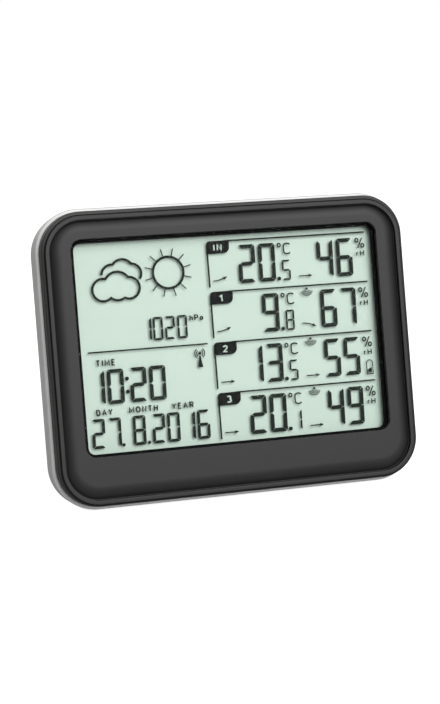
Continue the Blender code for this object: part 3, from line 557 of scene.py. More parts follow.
def make_rear_shell():
    shell = make_tray()
    inner = CASE_DEPTH - WALL + 0.1
    through = (inner - 1.0, CASE_DEPTH)
    door_half = DOOR_HALF_W + GAP
    door_z = (DOOR_HINGE.z - GAP, DOOR_HIGH.z + GAP)

    solids = bmesh.new()
    box = door_half + 1.5
    add_box(solids, (-box, box), (POCKET_FLOOR - 1.5, inner), (-9.6, door_z[1] + 1.55))
    for place in screw_places():
        add_turned(solids, [(14.0, TOWER_RADIUS), (inner, TOWER_RADIUS)], (place.x, place.z))
    carve(shell, solids, "UNION")
    solids = bmesh.new()
    bay = RECESS_HALF_W + 3.6
    add_box(solids, (-bay, bay), (RECESS_FLOOR - 1.7, inner), (RECESS_Z[0] - 2.2, -9.0))
    behind = [(0.0, FOOT_SEAT - 0.5), (4.75, FOOT_SEAT - 0.5), (4.0, FOOT_SEAT + 2.1), (0.3, FOOT_SEAT + 0.5)]
    for node in FEET:
        add_foot_prism(solids, node, behind)
    carve(shell, solids, "UNION")

    cuts = bmesh.new()
    under = [(-1.1, FOOT_SEAT), (5.4, FOOT_SEAT), (5.4, FOOT_SEAT - 2.5), (-1.1, FOOT_SEAT - 2.5)]
    for node in FEET:
        add_foot_prism(cuts, node, under, margin=0.3)
    middle = sum(POCKET_Z) / 2
    pocket = (POCKET_HALF_W, POCKET_Z[1] - middle, 0.8)
    add_stack(cuts, [(level, *pocket) for level in (POCKET_FLOOR, CASE_DEPTH + 1)], (0, middle), steps=3)
    add_recess(cuts, RECESS_HALF_W, RECESS_Z, 0.8, RECESS_FLOOR, steps=3)
    for place in screw_places():
        profile = [(13.0, SCREW_BORE), (SCREW_SEAT, SCREW_BORE), (SCREW_SEAT, HEAD_BORE)]
        profile += [(CASE_DEPTH - CHAMFER, HEAD_BORE), (CASE_DEPTH, HEAD_BORE + CHAMFER)]
        profile += [(CASE_DEPTH + 1, HEAD_BORE + CHAMFER)]
        add_turned(cuts, profile, (place.x, place.z))
    for name in KEY_NAMES:
        place = local_middle(f"{name}_key")
        shape = (KEY_HALF[0] + 0.3, KEY_HALF[1] + 0.3, 2.3)
        add_opening(cuts, shape, (place.x, place.z), *through)
    for number in range(5):
        add_opening(cuts, VENT, (VENT_X, VENT_Z + number * VENT_PITCH), *through)
    for x in SOUND_HOLES:
        add_opening(cuts, (0.8, 0.8, 0.8), (x, KEYHOLE_Z), *through)
    carve(shell, cuts)

    cuts = bmesh.new()
    add_recess(cuts, door_half, door_z, 1.0, DOOR_LEDGE, steps=4)
    add_opening(cuts, (4.6, 4.6, 4.6), (0, KEYHOLE_Z), *through, steps=10)
    carve(shell, cuts)

    cuts = bmesh.new()
    slot = TAB_HALF_W + 0.6
    for x in TAB_PLACES:
        add_box(cuts, (x - slot, x + slot), (21.6, DOOR_LEDGE + 0.2), (-7.9, POCKET_Z[0] + 0.5))
    add_opening(cuts, (2.3, 4.5, 2.2), (0, KEYHOLE_Z + 6.5), inner - 1.2, CASE_DEPTH)
    for node in CELL_NODES:
        level = local_middle(node).z
        add_box(cuts, (-37.0, 0.6 - POCKET_HALF_W), (11.8, 13.0), (level - 1.9, level + 1.9))
    for side in (-1, 1):
        bore = arc((STAND_HINGE.y, STAND_HINGE.z), PIN_RADIUS + 0.3, 0, 345, 23)
        add_prism(cuts, bore, sorted((side * (RECESS_HALF_W - 0.5), side * (PIN_END + 0.4))))
    carve(shell, cuts)
    finish_piece(shell, "housing", "silver_plastic", ["rear_shell"])


# --- Door, stand and keys
def make_battery_door():
    """Thin snap-in door with hooked tabs and a ribbed thumb recess."""
    height = DOOR_HIGH.z - DOOR_HINGE.z
    middle = (0, height / 2)
    thickness = CASE_DEPTH - DOOR_LEDGE - 0.3
    body = [(-thickness, 0.25), (0.2 - thickness, 0.0), (-0.45, 0.0)]
    body += [(depth - 0.45, 0.45 - across) for across, depth in arc((0, 0), 0.45, 22.5, 90, 3)]
    sections = [(depth, DOOR_HALF_W - less, height / 2 - less, 1.0 - less / 2) for depth, less in body]
    bm = bmesh.new()
    add_stack(bm, sections, middle)
    matrix = DEVICE @ Matrix.Translation((0, CASE_DEPTH, DOOR_HINGE.z))
    door = solid("battery_door_moulding", bm)
    extras = bmesh.new()
    for x in TAB_PLACES:
        root = 0.1 - thickness
        outline = [(root, 2.2), (-3.6, 2.2), (-3.6, -1.6), (-2.4, -1.6), (-2.4, 0.6), (root, 0.6)]
        add_prism(extras, outline, (x - TAB_HALF_W, x + TAB_HALF_W))
    carve(door, extras, "UNION")
    thumb = bmesh.new()
    add_opening(thumb, (11.0, 4.0, 3.0), (0, height - 7.0), -0.75, 0.0, steps=8)
    carve(door, thumb)
    ribs = bmesh.new()
    for number in range(4):
        level = height - 9.4 + number * 1.6
        half = 9.4 if number in (1, 2) else 8.4
        outline = [(-0.85, level - 0.4), (-0.2, level - 0.18), (-0.2, level + 0.18), (-0.85, level + 0.4)]
        add_prism(ribs, outline, (-half, half))
    carve(door, ribs, "UNION")
    finish_piece(door, "door", "silver_plastic", ["battery_door"], matrix)


def make_table_stand():
    """Fold-out flap: rounded heel and corners, a foot land, trunnions, a notch and a webbed panel."""
    t = STAND_HALF_T
    land = 4.0
    heel = [(-x, -z) for x, z in arc((0, 0), t, 0, 180, 12)]
    land_rise = land * math.tan(LEAN)
    tip = [(t, STAND_LENGTH - land), (t - land_rise, STAND_LENGTH)]
    tip += [(0.5 - t, STAND_LENGTH), (-t, STAND_LENGTH - 0.5)]
    matrix = DEVICE @ Matrix.Translation(STAND_HINGE) @ Matrix.Rotation(-math.pi / 2, 4, "X")
    bm = bmesh.new()
    add_prism(bm, heel + tip, (-STAND_HALF_W, STAND_HALF_W))
    bmesh.ops.remove_doubles(bm, verts=bm.verts, dist=0.001)
    bmesh.ops.recalc_face_normals(bm, faces=bm.faces)
    ends = [edge for edge in bm.edges if all(abs(abs(v.co.x) - STAND_HALF_W) < 0.01 for v in edge.verts)
            and abs(edge.verts[0].co.x - edge.verts[1].co.x) < 0.01]
    bmesh.ops.bevel(bm, geom=ends, offset=0.4, segments=3, profile=0.5, affect="EDGES")
    stand = solid("table_stand_moulding", bm)
    pins = bmesh.new()
    for side in (-1, 1):
        reach = sorted((side * (STAND_HALF_W - 1.0), side * PIN_END))
        add_prism(pins, arc((0, 0), PIN_RADIUS, 0, 345, 23), reach)
    carve(stand, pins, "UNION")
    hollows = bmesh.new()
    add_stack(hollows, [(level, 9.0, 6.0, 3.0) for level in (-t - 1, t + 1)], (0.0, STAND_LENGTH + 2.0))
    bays, rim, web = 3, 3.6, 1.6
    bay_half = (STAND_HALF_W - rim - web * (bays - 1) / 2) / bays
    bay_z = (4.0, STAND_LENGTH - 9.0)
    for number in range(bays):
        centre = ((number - (bays - 1) / 2) * (2 * bay_half + web), sum(bay_z) / 2)
        shape = (bay_half, (bay_z[1] - bay_z[0]) / 2, 2.0)
        add_opening(hollows, shape, centre, t - 0.8, t)
    carve(stand, hollows)
    finish_piece(stand, "stand", "silver_plastic", ["table_stand"], matrix)


def make_key(name):
    """A soft-edged cap over a retaining flange and a stem that reaches towards its switch."""
    place = local_middle(f"{name}_key")
    half_w, half_h = KEY_HALF
    top = CASE_DEPTH + KEY_PROUD
    stem, flange = 22.6, CASE_DEPTH - WALL - 0.35
    sections = [(local_box(f"{name}_key")[0].y, 1.8, 1.8, 0.6), (stem, 1.8, 1.8, 0.6)]
    sections += [(level, half_w + 1.2, half_h + 1.2, 2.2) for level in (stem, flange)]
    sections += [(flange, half_w, half_h, 2.0)]
    for across, depth in arc((0.7, 0.0), 0.7, 180, 95, 5):
        sections.append((top - 0.7 + depth, half_w - across, half_h - across, max(2.0 - across, 0.8)))
    bm = bmesh.new()
    add_stack(bm, sections, (place.x, place.z), steps=5)
    piece(f"{name}_key_cap", bm, f"{name}_button", "key_plastic", [f"{name}_key"])
    symbol = film(f"{name}_key_symbol", KEY_SYMBOLS[name], (top - 0.02, top + 0.04), (place.x, place.z))
    finish_piece(symbol, f"{name}_button", paint=PAINTS["key_symbol"])


def make_case_screws():
    """Pan-head screws with a cross recess."""
    for number, place in enumerate(screw_places(), start=1):
        seat = SCREW_SEAT + 0.35
        profile = [(5.0, 0.2), (6.0, 1.25)]
        for turn in range(12):
            profile += [(6.6 + turn * 1.0, 1.25), (6.9 + turn * 1.0, 1.0)]
        profile += [(seat - 0.6, 1.25), (seat, 1.25), (seat, 2.6), (seat + 0.9, 2.6)]
        profile += [(seat + 0.9 + 1.1 * math.sin(a), 1.6 + math.cos(a)) for a in (0.4, 0.8, 1.2, 1.57)]
        bm = bmesh.new()
        add_turned(bm, profile, (place.x, place.z))
        screw = solid(f"case_screw_{number}_machined", bm)
        for half_x, half_z in ((1.5, 0.3), (0.3, 1.5)):
            slot = bmesh.new()
            across, up = (place.x - half_x, place.x + half_x), (place.z - half_z, place.z + half_z)
            add_box(slot, across, (seat + 0.9, seat + 3), up)
            carve(screw, slot)
        finish_piece(screw, "housing", "screw_steel", [f"case_screw_{number}"])


def make_cells():
    """AA cells: a drawn can with a raised positive end, in a printed sleeve."""
    for node, side in zip(CELL_NODES, (1, -1)):
        low, high = local_box(node)
        place = (low + high) / 2
        tip = (high.x - place.x)
        shoulder = tip - 1.3
        foot = -tip
        radius = 7.25
        can = [(foot, 5.2), (foot + 0.15, 6.2), (foot + 0.3, 6.95), (shoulder - 0.5, 6.95),
               (shoulder - 0.15, 6.6), (shoulder, 6.0), (shoulder, 2.9), (shoulder + 0.15, 2.7),
               (tip - 0.25, 2.7), (tip, 2.4)]
        sleeve = [(foot + 0.02, 6.4)]
        sleeve += arc((foot + 0.47, radius - 0.45), 0.45, 180, 90, 4)
        sleeve += arc((shoulder - 0.47, radius - 0.45), 0.45, 90, 0, 4)
        sleeve += [(shoulder - 0.02, 6.4), (shoulder - 0.3, 6.4), (shoulder - 0.5, 7.0)]
        sleeve += [(foot + 0.5, 7.0), (foot + 0.3, 6.4)]
        matrix = DEVICE @ Matrix.Translation(place) @ Matrix.Rotation(-side * math.pi / 2, 4, "Z")
        bm = bmesh.new()
        add_turned(bm, can, steps=12)
        piece(f"{node}_can", bm, "housing", "nickel", [node], matrix)
        bm = bmesh.new()
        loft(bm, [add_ring(bm, depth, r, r, r, steps=12) for depth, r in sleeve], closed=True)
        finish = cell_sleeve(f"{node}_sleeve_print", side)
        piece(f"{node}_sleeve", bm, "housing", "cell_sleeve", matrix=matrix, paint=finish)


def make_springs():
    """Conical contact springs, wound towards the flat end of each cell."""
    for node, cell, side in (("contact_spring_1", "battery_1", -1), ("contact_spring_2", "battery_2", 1)):
        middle = local_middle(cell)
        turns, per_turn, length, start = 3, 28, 4.9, 27.9
        points = []
        for step in range(turns * per_turn + 1):
            share = step / (turns * per_turn)
            angle = 2 * math.pi * turns * share
            radius = 4.6 - 1.8 * share
            depth, z = middle.y + radius * math.cos(angle), middle.z + radius * math.sin(angle)
            points.append(Vector((side * (start - length * share), depth, z)))
        bm = bmesh.new()
        add_wire(bm, points, 0.4)
        piece(f"{node}_coil", bm, "housing", "nickel", [node], sharp=60)


def add_wire(bm, points, radius, sides=10):
    """A round wire through the points, with flat ends."""
    rings = []
    for index, point in enumerate(points):
        along = points[min(index + 1, len(points) - 1)] - points[max(index - 1, 0)]
        across = along.cross(Vector((1, 0, 0))).normalized()
        up = along.cross(across).normalized()
        ring = []
        for side in range(sides):
            angle = 2 * math.pi * side / sides
            ring.append(bm.verts.new(point + radius * (across * math.cos(angle) + up * math.sin(angle))))
        rings.append(ring)
    loft(bm, rings)


# --- Display artwork: flat outlines in (x, z), merged into thin films
def inside(point, outline):
    """Whether a point lies within a closed outline."""
    hit = False
    for a, b in zip(outline, outline[1:] + outline[:1]):
        if (a[1] > point.y) != (b[1] > point.y):
            if point.x < a[0] + (b[0] - a[0]) * (point.y - a[1]) / (b[1] - a[1]):
                hit = not hit
    return hit


def film(name, outlines, depth, centre=(0, 0)):
    """Merges flat outlines into one closed sheet between two depths."""
    points = []
    faces = []
    for outline in outlines:
        faces.append(list(range(len(points), len(points) + len(outline))))
        points += [Vector(point) for point in outline]
    verts, _, triangles = delaunay_2d_cdt(points, [], faces, 0, 1e-4)[:3]
    bm = bmesh.new()
    front = [bm.verts.new((v.x + centre[0], depth[0], v.y + centre[1])) for v in verts]
    for triangle in triangles:
        middle = sum((verts[i] for i in triangle), Vector((0, 0))) / 3
        if any(inside(middle, outline) for outline in outlines):
            bm.faces.new([front[i] for i in triangle])
    loose = [vert for vert in bm.verts if not vert.link_faces]
    bmesh.ops.delete(bm, geom=loose, context="VERTS")
    made = bmesh.ops.extrude_face_region(bm, geom=bm.faces[:], use_keep_orig=True)
    moved = [item for item in made["geom"] if isinstance(item, bmesh.types.BMVert)]
    bmesh.ops.translate(bm, verts=moved, vec=(0, depth[1] - depth[0], 0))
    return solid(name, bm)


def ribbon(points, width, closed=False):
    """Quads along a line, mitred at its bends."""
    count = len(points)
    sides = []
    for index, point in enumerate(points):
        before = points[index - 1] if index or closed else point
        after = points[(index + 1) % count] if index < count - 1 or closed else point
        here = Vector(point)
        first = (here - Vector(before)).normalized() if before != point else None
        second = (Vector(after) - here).normalized() if after != point else None
        first = first or second
        second = second or first
        normal = Vector((-(first + second).y, (first + second).x)).normalized()
        lean = max(normal.dot(Vector((-first.y, first.x))), 0.6)
        offset = normal * (width / 2 / lean)
        sides.append((tuple(here + offset), tuple(here - offset)))
    following = sides[1:] + (sides[:1] if closed else [])
    return [[a[0], b[0], b[1], a[1]] for a, b in zip(sides, following)]


def disc(centre, radius):
    return [arc(centre, radius, 0, 342, 19)]


def loop(centre, radius_x, radius_z, width, steps=24):
    angles = [2 * math.pi * step / steps for step in range(steps)]
    points = [(centre[0] + radius_x * math.cos(a), centre[1] + radius_z * math.sin(a)) for a in angles]
    return ribbon(points, width, closed=True)


def arc_through(start, via, end, steps=14):
    """Points on the circle through three points, from the first to the last."""
    a, b, c = Vector(start), Vector(via), Vector(end)
    turn = 2 * ((b - a).x * (c - a).y - (b - a).y * (c - a).x)
    ab, ac = (b - a).length_squared, (c - a).length_squared
    centre = a + Vector(((c - a).y * ab - (b - a).y * ac, (b - a).x * ac - (c - a).x * ab)) / turn
    radius = (a - centre).length
    first, last = (math.degrees(math.atan2((p - centre).y, (p - centre).x)) for p in (a, c))
    if turn > 0 and last < first:
        last += 360
    if turn < 0 and last > first:
        last -= 360
    return arc(centre, radius, first, last, steps)


def lobes(start, *bulges):
    """Arcs end to end, each given by a point on its way, its end and its steps."""
    points = []
    for via, end, steps in bulges:
        points += arc_through(start, via, end, steps)[1 if points else 0:]
        start = end
    return points


SEGMENTS = {
    "0": "abcdef", "1": "bc", "2": "abged", "3": "abgcd", "4": "fgbc", "5": "afgcd",
    "6": "afgedc", "7": "abc", "8": "abcdefg", "9": "abfgcd",
}
SEGMENT_GAP = 0.16
SLANT = math.radians(1.0)


def digit_outlines(digit, x, top, width, height, weight):
    """A seven-segment figure with mitred joints and rounded outer corners."""
    t, m = weight, SEGMENT_GAP * 0.7
    corner = weight * 0.75
    half = height / 2

    def flipped(points, flip_x, flip_z):
        return [(width - px if flip_x else px, height - pz if flip_z else pz) for px, pz in points]

    def tip(flip_x, flip_z, vertical):
        """Outer corner of a segment, from its long edge round to the mitre."""
        points = arc((corner, height - corner), corner, 180 if vertical else 90, 135, 4)
        shift_x, shift_z = (0, -m) if vertical else (m, 0)
        return flipped([(px + shift_x, pz + shift_z) for px, pz in points], flip_x, flip_z)

    def level(flip_z):
        left = tip(False, flip_z, False)
        right = tip(True, flip_z, False)
        inner = height - t if not flip_z else t
        return left + [(t + m, inner), (width - t - m, inner)] + right[::-1]

    def upright(flip_x, flip_z):
        points = [(t, height - t - m), (t, half + t / 2 + m), (t / 2, half + m), (0, half + m)]
        return tip(flip_x, flip_z, True) + flipped(points, flip_x, flip_z)

    shapes = {
        "a": level(False),
        "d": level(True),
        "f": upright(False, False),
        "b": upright(True, False),
        "e": upright(False, True),
        "c": upright(True, True),
        "g": [(t / 2 + m, half), (t + m, half + t / 2), (width - t - m, half + t / 2),
              (width - t / 2 - m, half), (width - t - m, half - t / 2), (t + m, half - t / 2)],
    }
    bottom, lean = top - height, math.tan(SLANT)
    return [[(x + px + pz * lean, bottom + pz) for px, pz in shapes[name]] for name in SEGMENTS[digit]]


def figures(text, places, *size):
    """Digits in a row, each with its left edge at its own place; a space leaves its place empty."""
    outlines = []
    for digit, x in zip(text, places):
        if digit != " ":
            outlines += digit_outlines(digit, x, *size)
    return outlines


def bowl(u, v, ru, rv, start, end, steps=8):
    return [(u + ru * px, v + rv * pz) for px, pz in arc((0, 0), 1, start, end, steps)]


# Letters as strokes in a unit box, with each one's width against its height.
LETTERS = {
    "T": (0.74, [[(0, 1), (1, 1)], [(0.5, 1), (0.5, 0)]]),
    "I": (0.20, [[(0.5, 1), (0.5, 0)]]),
    "M": (0.90, [[(0, 0), (0, 1), (0.5, 0.2), (1, 1), (1, 0)]]),
    "E": (0.66, [[(1, 1), (0, 1), (0, 0), (1, 0)], [(0, 0.52), (0.88, 0.52)]]),
    "D": (0.78, [[(0, 0), (0, 1)] + bowl(0.45, 0.5, 0.55, 0.5, 90, -90) + [(0, 0)]]),
    "A": (0.84, [[(0, 0), (0.5, 1), (1, 0)], [(0.18, 0.34), (0.82, 0.34)]]),
    "Y": (0.80, [[(0, 1), (0.5, 0.45), (1, 1)], [(0.5, 0.45), (0.5, 0)]]),
    "O": (0.86, [bowl(0.5, 0.5, 0.5, 0.5, 0, 360, 20)]),
    "N": (0.76, [[(0, 0), (0, 1), (1, 0), (1, 1)]]),
    "H": (0.74, [[(0, 0), (0, 1)], [(1, 0), (1, 1)], [(0, 0.5), (1, 0.5)]]),
    "R": (0.76, [[(0, 0), (0, 1)] + bowl(0.6, 0.75, 0.4, 0.25, 90, -90) + [(0, 0.5)], [(0.5, 0.5), (1, 0)]]),
    "P": (0.70, [[(0, 0), (0, 1)] + bowl(0.6, 0.72, 0.4, 0.28, 90, -90) + [(0, 0.44)]]),
    "C": (0.62, [bowl(0.6, 0.76, 0.6, 0.24, 30, 180, 6) + bowl(0.6, 0.24, 0.6, 0.24, 180, 330, 6)]),
    "h": (0.58, [[(0, 0), (0, 1)], [(0, 0.42)] + bowl(0.5, 0.42, 0.5, 0.24, 150, 0, 6) + [(1, 0)]]),
    "a": (0.58, [bowl(0.45, 0.31, 0.45, 0.31, 0, 360, 14), [(1, 0.64), (1, 0)]]),
    "r": (0.40, [[(0, 0), (0, 0.68)], [(0, 0.40)] + bowl(0.8, 0.36, 0.75, 0.30, 150, 80, 4)]),
    "1": (0.40, [[(0, 0.74), (0.75, 1), (0.75, 0)]]),
    "2": (0.62, [bowl(0.5, 0.72, 0.5, 0.28, 170, -35, 8) + [(0, 0), (1, 0)]]),
    "3": (0.62, [bowl(0.45, 0.76, 0.5, 0.24, 150, -75, 8), bowl(0.45, 0.27, 0.55, 0.27, 80, -150, 8)]),
}


def word(text, left, right, top, height, weight, gap=0.26):
    """Letters spread evenly between two edges."""
    natural = sum(LETTERS[letter][0] for letter in text) + gap * (len(text) - 1)
    scale = (right - left) / natural
    outlines = []
    for letter in text:
        width, strokes = LETTERS[letter]
        reach = max(width * scale - weight, 0.0)
        for stroke in strokes:
            start = left + weight / 2
            bottom = top - height + weight / 2
            points = [(start + u * reach, bottom + v * (height - weight)) for u, v in stroke]
            outlines += ribbon(points, weight)
        left += (width + gap) * scale
    return outlines


def weather_icons():
    line = 1.12
    front = lobes((-58.6, 36.4), ((-65.3, 31.6), (-56.6, 27.5), 22), ((-53.2, 26.2), (-50.0, 27.2), 8),
                  ((-42.6, 31.9), (-47.9, 36.7), 22), ((-53.2, 39.5), (-58.6, 36.4), 12))[:-1]
    back = lobes((-60.4, 38.3), ((-59.2, 41.2), (-54.7, 42.9), 10), ((-50.3, 45.1), (-45.9, 42.8), 12),
                 ((-41.6, 39.6), (-42.3, 35.5), 12))
    shapes = ribbon(front, line, closed=True) + ribbon(back, line)
    sun = (-28.35, 37.5)
    shapes += loop(sun, 7.4, 7.4, 1.15, 48)
    for ray in range(12):
        angle = math.radians(15 + 30 * ray)
        ends = [(sun[0] + r * math.cos(angle), sun[1] + r * math.sin(angle)) for r in (7.7, 11.5)]
        shapes += ribbon(ends, 0.5)
    return shapes


def pressure_reading():
    shapes = figures("1020", (-43.4, -37.9, -32.1, -26.05), 17.15, 4.85, 10.9, 1.05)
    return shapes + word("hPa", -19.8, -13.1, 17.0, 2.9, 0.56)


def time_reading():
    shapes = figures("1020", (-70.9, -61.8, -50.9, -41.6), -5.45, 7.9, 16.15, 1.75)
    for z in (-10.4, -16.4):
        shapes += disc((-52.15, z), 0.92)
    shapes += word("TIME", -66.4, -57.1, -0.75, 3.1, 0.64)
    tower = (-16.1, -1.35)
    shapes += disc(tower, 0.75)
    for radius in (1.55, 2.45):
        for middle in (0, 180):
            shapes += ribbon(arc(tower, radius, middle - 55, middle + 55, 8), 0.42)
    shapes += [[(-16.35, -2.4), (-15.85, -2.4), (-14.85, -7.95), (-17.35, -7.95)]]
    return shapes


def date_reading():
    places = (-70.65, -62.95, -51.2, -41.85, -34.6, -27.1, -19.95)
    shapes = figures("2782016", places, -27.95, 6.1, 13.75, 1.35)
    for x in (-56.0, -43.75):
        shapes += disc((x, -40.9), 0.78)
    for text, left, right in (("DAY", -68.0, -60.1), ("MONTH", -52.4, -38.4), ("YEAR", -31.7, -21.0)):
        shapes += word(text, left, right, -23.65, 3.0, 0.62)
    return shapes


ROW_TOP = 50.65
ROW_PITCH = 23.93
READINGS = (
    ("20", "5", "46", "rise", "level"),
    (" 9", "8", "67", "rise", "fall"),
    ("13", "5", "55", "level", "level"),
    ("20", "1", "49", "level", "level"),
)


def trend_arrow(kind, x, z):
    """Thin arrow with a small solid head: level, curving upwards or curving downwards."""
    lift = {"level": 0.0, "rise": 1.35, "fall": -1.45}[kind]
    line = []
    for step in range(9):
        share = step / 8
        line.append((x + 5.9 * share, z + lift * share * share))
    slope = math.atan2(2 * lift, 5.9)
    tip = (x + 6.9, line[-1][1] + math.tan(slope) * 1.0)
    along = Vector((math.cos(slope), math.sin(slope)))
    side = Vector((-along.y, along.x)) * 0.78
    back = Vector(tip) - along * 2.0
    return ribbon(line, 0.5) + [[tip, tuple(back + side), tuple(back - side)]]


def reception_icon(x, z):
    """A dot over three fanned arcs."""
    shapes = disc((x, z + 0.2), 0.6)
    for radius in (1.25, 2.1, 2.95):
        shapes += ribbon(arc((x, z), radius, 197, 343, 12), 0.4)
    return shapes


def low_cell_icon(x, z):
    outline = [(x - 1.55, z - 6.9), (x - 1.55, z - 1.3), (x - 0.6, z - 0.2), (x + 0.6, z - 0.2),
               (x + 1.55, z - 1.3), (x + 1.55, z - 6.9)]
    block = [(x - 0.95, z - 6.25), (x - 0.95, z - 4.7), (x + 0.95, z - 3.8), (x + 0.95, z - 6.25)]
    return ribbon(outline, 0.42, closed=True) + [block]


def climate_row(row):
    """Temperature with its small decimal, humidity, units and trend arrows of one channel."""
    whole, decimal, humidity, warm_trend, damp_trend = READINGS[row]
    line = ROW_TOP - row * ROW_PITCH
    top = line - 2.4
    shapes = figures(whole, (6.3, 16.3), top, 8.35, 18.2, 1.85)
    shapes += figures(humidity, (45.9, 55.9), top, 8.15, 18.2, 1.85)
    shapes += figures(decimal, (27.8,), top - 8.5, 4.3, 9.7, 0.88)
    shapes += disc((26.15, top - 17.25), 0.95)
    shapes += loop((27.15, top - 1.35), 0.74, 0.87, 0.6, 16)
    shapes += word("C", 29.1, 32.6, top - 0.3, 5.7, 0.66)
    for u, v in ((66.9, -1.4), (69.75, -4.0)):
        shapes += loop((u, top + v), 0.74, 0.9, 0.6, 16)
    shapes += ribbon([(67.3, top - 5.1), (69.6, top - 0.3)], 0.56)
    shapes += word("rH", 66.3, 70.4, top - 6.2, 2.9, 0.48)
    shapes += trend_arrow(warm_trend, -6.6, top - 16.3)
    shapes += trend_arrow(damp_trend, 36.2, top - (16.9 if damp_trend == "level" else 15.6) + 0.2)
    if row:
        shapes += reception_icon(39.5, top + 0.7)
    if row == 2:
        shapes += low_cell_icon(68.8, top - 11.5)
    return shapes


def divider_lines():
    shapes = ribbon([(-69.6, 2.85), (-11.9, 2.8)], 0.7)
    for row in range(4):
        line = ROW_TOP - row * ROW_PITCH
        shapes += ribbon([(0.0, line), (71.1, line)], 0.72)
        shapes += ribbon([(-8.6, line - 4.0), (-8.6, line - 21.6)], 0.8)
    return shapes


def channel_tab(row):
    """Solid label tab with one rounded corner at its head and one at its foot."""
    line = ROW_TOP - row * ROW_PITCH + 0.2
    left, right, low = -8.9, 2.35, line - 6.0
    outline = arc((left + 1.9, line - 1.9), 1.9, 180, 90, 8)
    outline += [(right, line)]
    outline += arc((right - 2.9, low + 2.9), 2.9, 0, -90, 8)
    outline += [(left, low)]
    return [outline]


def tab_label(row):
    top = ROW_TOP - row * ROW_PITCH - 1.35
    if row == 0:
        return word("IN", -5.5, -1.3, top, 3.2, 0.62, 0.3)
    left, right = ((-4.5, -2.5), (-4.6, -2.2), (-4.6, -2.2))[row - 1]
    return word(str(row), left, right, top, 3.4, 0.6)


def make_reflector():
    """Satin reflector behind the glass; its sheet also stands for the clear rear glass."""
    low, high = local_box("lcd_reflector")
    middle = (low + high) / 2
    half = (high - low) / 2
    bm = bmesh.new()
    shape = (half.x, half.z, 1.0)
    add_stack(bm, [(level, *shape) for level in (low.y, high.y)], (middle.x, middle.z))
    nodes = ["lcd_reflector", "lcd_rear_glass"]
    piece("lcd_reflector_sheet", bm, "housing", "reflector_film", nodes)


def make_artwork():
    """Films in the gap between the two glasses; they shade the reflector behind them."""
    front, back = local_box("lcd_front_glass")[1].y, local_box("lcd_rear_glass")[0].y
    gap = back - front
    ink = (front + gap * 0.35, front + gap * 0.6)
    caption = (front + gap * 0.1, front + gap * 0.25)
    films = {
        "lcd_weather_icons": weather_icons(),
        "lcd_pressure_reading": pressure_reading(),
        "lcd_time_reading": time_reading(),
        "lcd_date_reading": date_reading(),
        "lcd_divider_lines": divider_lines(),
    }
    for row in range(4):
        films[f"lcd_climate_row_{row}"] = climate_row(row)
    for name, shapes in films.items():
        sheet = film(name, shapes, ink)
        finish_piece(sheet, "housing", nodes=["lcd_front_glass"], paint=PAINTS["segment_ink"])
    for row in range(4):
        finish_piece(film(f"lcd_tab_{row}", channel_tab(row), ink), "housing", paint=PAINTS["tab_ink"])
        label = film(f"lcd_tab_label_{row}", tab_label(row), caption)
        finish_piece(label, "housing", paint=PAINTS["reflector_film"])


# Printed key symbols, round each key's middle
KEY_SYMBOLS = {
    "mode": loop((0, 0), 1.3, 1.3, 0.4, 20) + disc((0, 0), 0.45),
    "set": ribbon([(-1.4, 0.8), (1.4, 0.8)], 0.4) + ribbon([(-1.4, -0.8), (1.4, -0.8)], 0.4),
    "alarm": [[(-1.5, -0.9), *arc((0, 0.1), 1.0, 180, 0, 10), (1.5, -0.9)]]
    + disc((0, -1.4), 0.35),
    "channel": disc((-1.1, 0), 0.4) + ribbon(arc((-1.1, 0), 1.1, -45, 45, 6), 0.36)
    + ribbon(arc((-1.1, 0), 1.9, -45, 45, 8), 0.36),
    "up": [[(-1.5, -1.0), (0, 1.2), (1.5, -1.0)]],
    "down": [[(-1.5, 1.0), (0, -1.2), (1.5, 1.0)]],
}


# --- Stage
def make_floor():
    bm = bmesh.new()
    reach = 4.0
    level = CAD_BOX[0].z - 0.0002
    corners = ((-reach, -reach), (reach, -reach), (reach, reach), (-reach, reach))
    bm.faces.new([bm.verts.new((x, y, level)) for x, y in corners])
    mesh = bpy.data.meshes.new("floor")
    bm.to_mesh(mesh)
    bm.free()
    floor = link("floor", mesh)
    made, tree, shader = principled("floor_paper")
    tree.links.new(blend_colours(tree, object_noise(tree, 3.0), (0.50, 0.50, 0.50), (0.54, 0.54, 0.54)),
                   shader.inputs["Base Color"])
    shader.inputs["Roughness"].default_value = 0.9
    shader.inputs["Specular IOR Level"].default_value = 0.0
    shader.inputs["Emission Color"].default_value = (1, 1, 1, 1)
    path = tree.nodes.new("ShaderNodeLightPath")
    glow = rescale(tree, path.outputs["Is Camera Ray"], 0.0, 0.92)
    tree.links.new(glow, shader.inputs["Emission Strength"])
    mesh.materials.append(made)


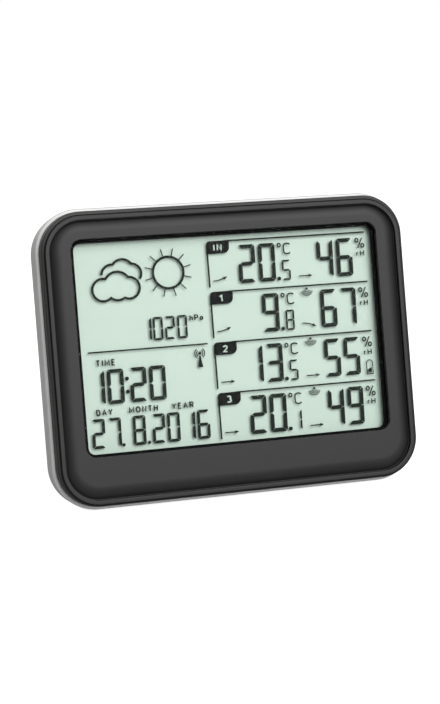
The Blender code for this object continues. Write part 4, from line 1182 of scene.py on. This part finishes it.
WORLD_LIGHT = 0.08
TARGET = Vector((0, 0, 0.07))
LIGHTS = {
  # name: (azimuth to the right of the front, elevation, distance, width, height, power)
    "overhead_softbox": (160.0, 76.0, 1.6, 1.4, 1.2, 3.0),
    "rear_fill": (196.0, 24.0, 2.2, 1.8, 1.4, 16.0),
    "key_softbox": (16.0, 36.0, 2.6, 2.6, 2.4, 86.0),
}


def make_lights():
    world = bpy.data.worlds.new("studio")
    bpy.context.scene.world = world
    world.use_nodes = True
    tree = world.node_tree
    back = tree.nodes["Background"]
    back.inputs["Color"].default_value = (1, 1, 1, 1)
    path = tree.nodes.new("ShaderNodeLightPath")
    strength = tree.nodes.new("ShaderNodeMix")
    strength.inputs["A"].default_value = WORLD_LIGHT
    strength.inputs["B"].default_value = 1.05
    tree.links.new(path.outputs["Is Camera Ray"], strength.inputs["Factor"])
    tree.links.new(strength.outputs["Result"], back.inputs["Strength"])
    for name, (azimuth, elevation, distance, width, height, power) in LIGHTS.items():
        turn, rise = math.radians(azimuth), math.radians(elevation)
        away = Vector((math.sin(turn) * math.cos(rise), -math.cos(turn) * math.cos(rise), math.sin(rise)))
        light = bpy.data.lights.new(name, "AREA")
        light.shape = "RECTANGLE"
        light.size = width
        light.size_y = height
        light.energy = power
        item = link(name, light)
        item.location = TARGET + away * distance
        item.rotation_euler = (-away).to_track_quat("-Z", "Y").to_euler()


CAMERA_PLACE = (-0.247217, -0.786253, 0.291217)
CAMERA_AZIMUTH = -17.303
CAMERA_ELEVATION = 15.288
CAMERA_LENS = 91.0


def make_camera():
    data = bpy.data.cameras.new("camera")
    data.lens = CAMERA_LENS
    camera = link("camera", data)
    camera.location = CAMERA_PLACE
    camera.rotation_euler = (math.radians(90 - CAMERA_ELEVATION), 0, math.radians(CAMERA_AZIMUTH))
    bpy.context.scene.camera = camera


paint_cad_nodes()
make_front_bezel()
make_rear_shell()
make_battery_door()
make_table_stand()
make_feet()
for key_name in KEY_NAMES:
    make_key(key_name)
make_case_screws()
make_cells()
make_springs()
make_reflector()
make_artwork()
make_floor()
make_lights()
make_camera()
bpy.context.scene.view_settings.view_transform = "Standard"
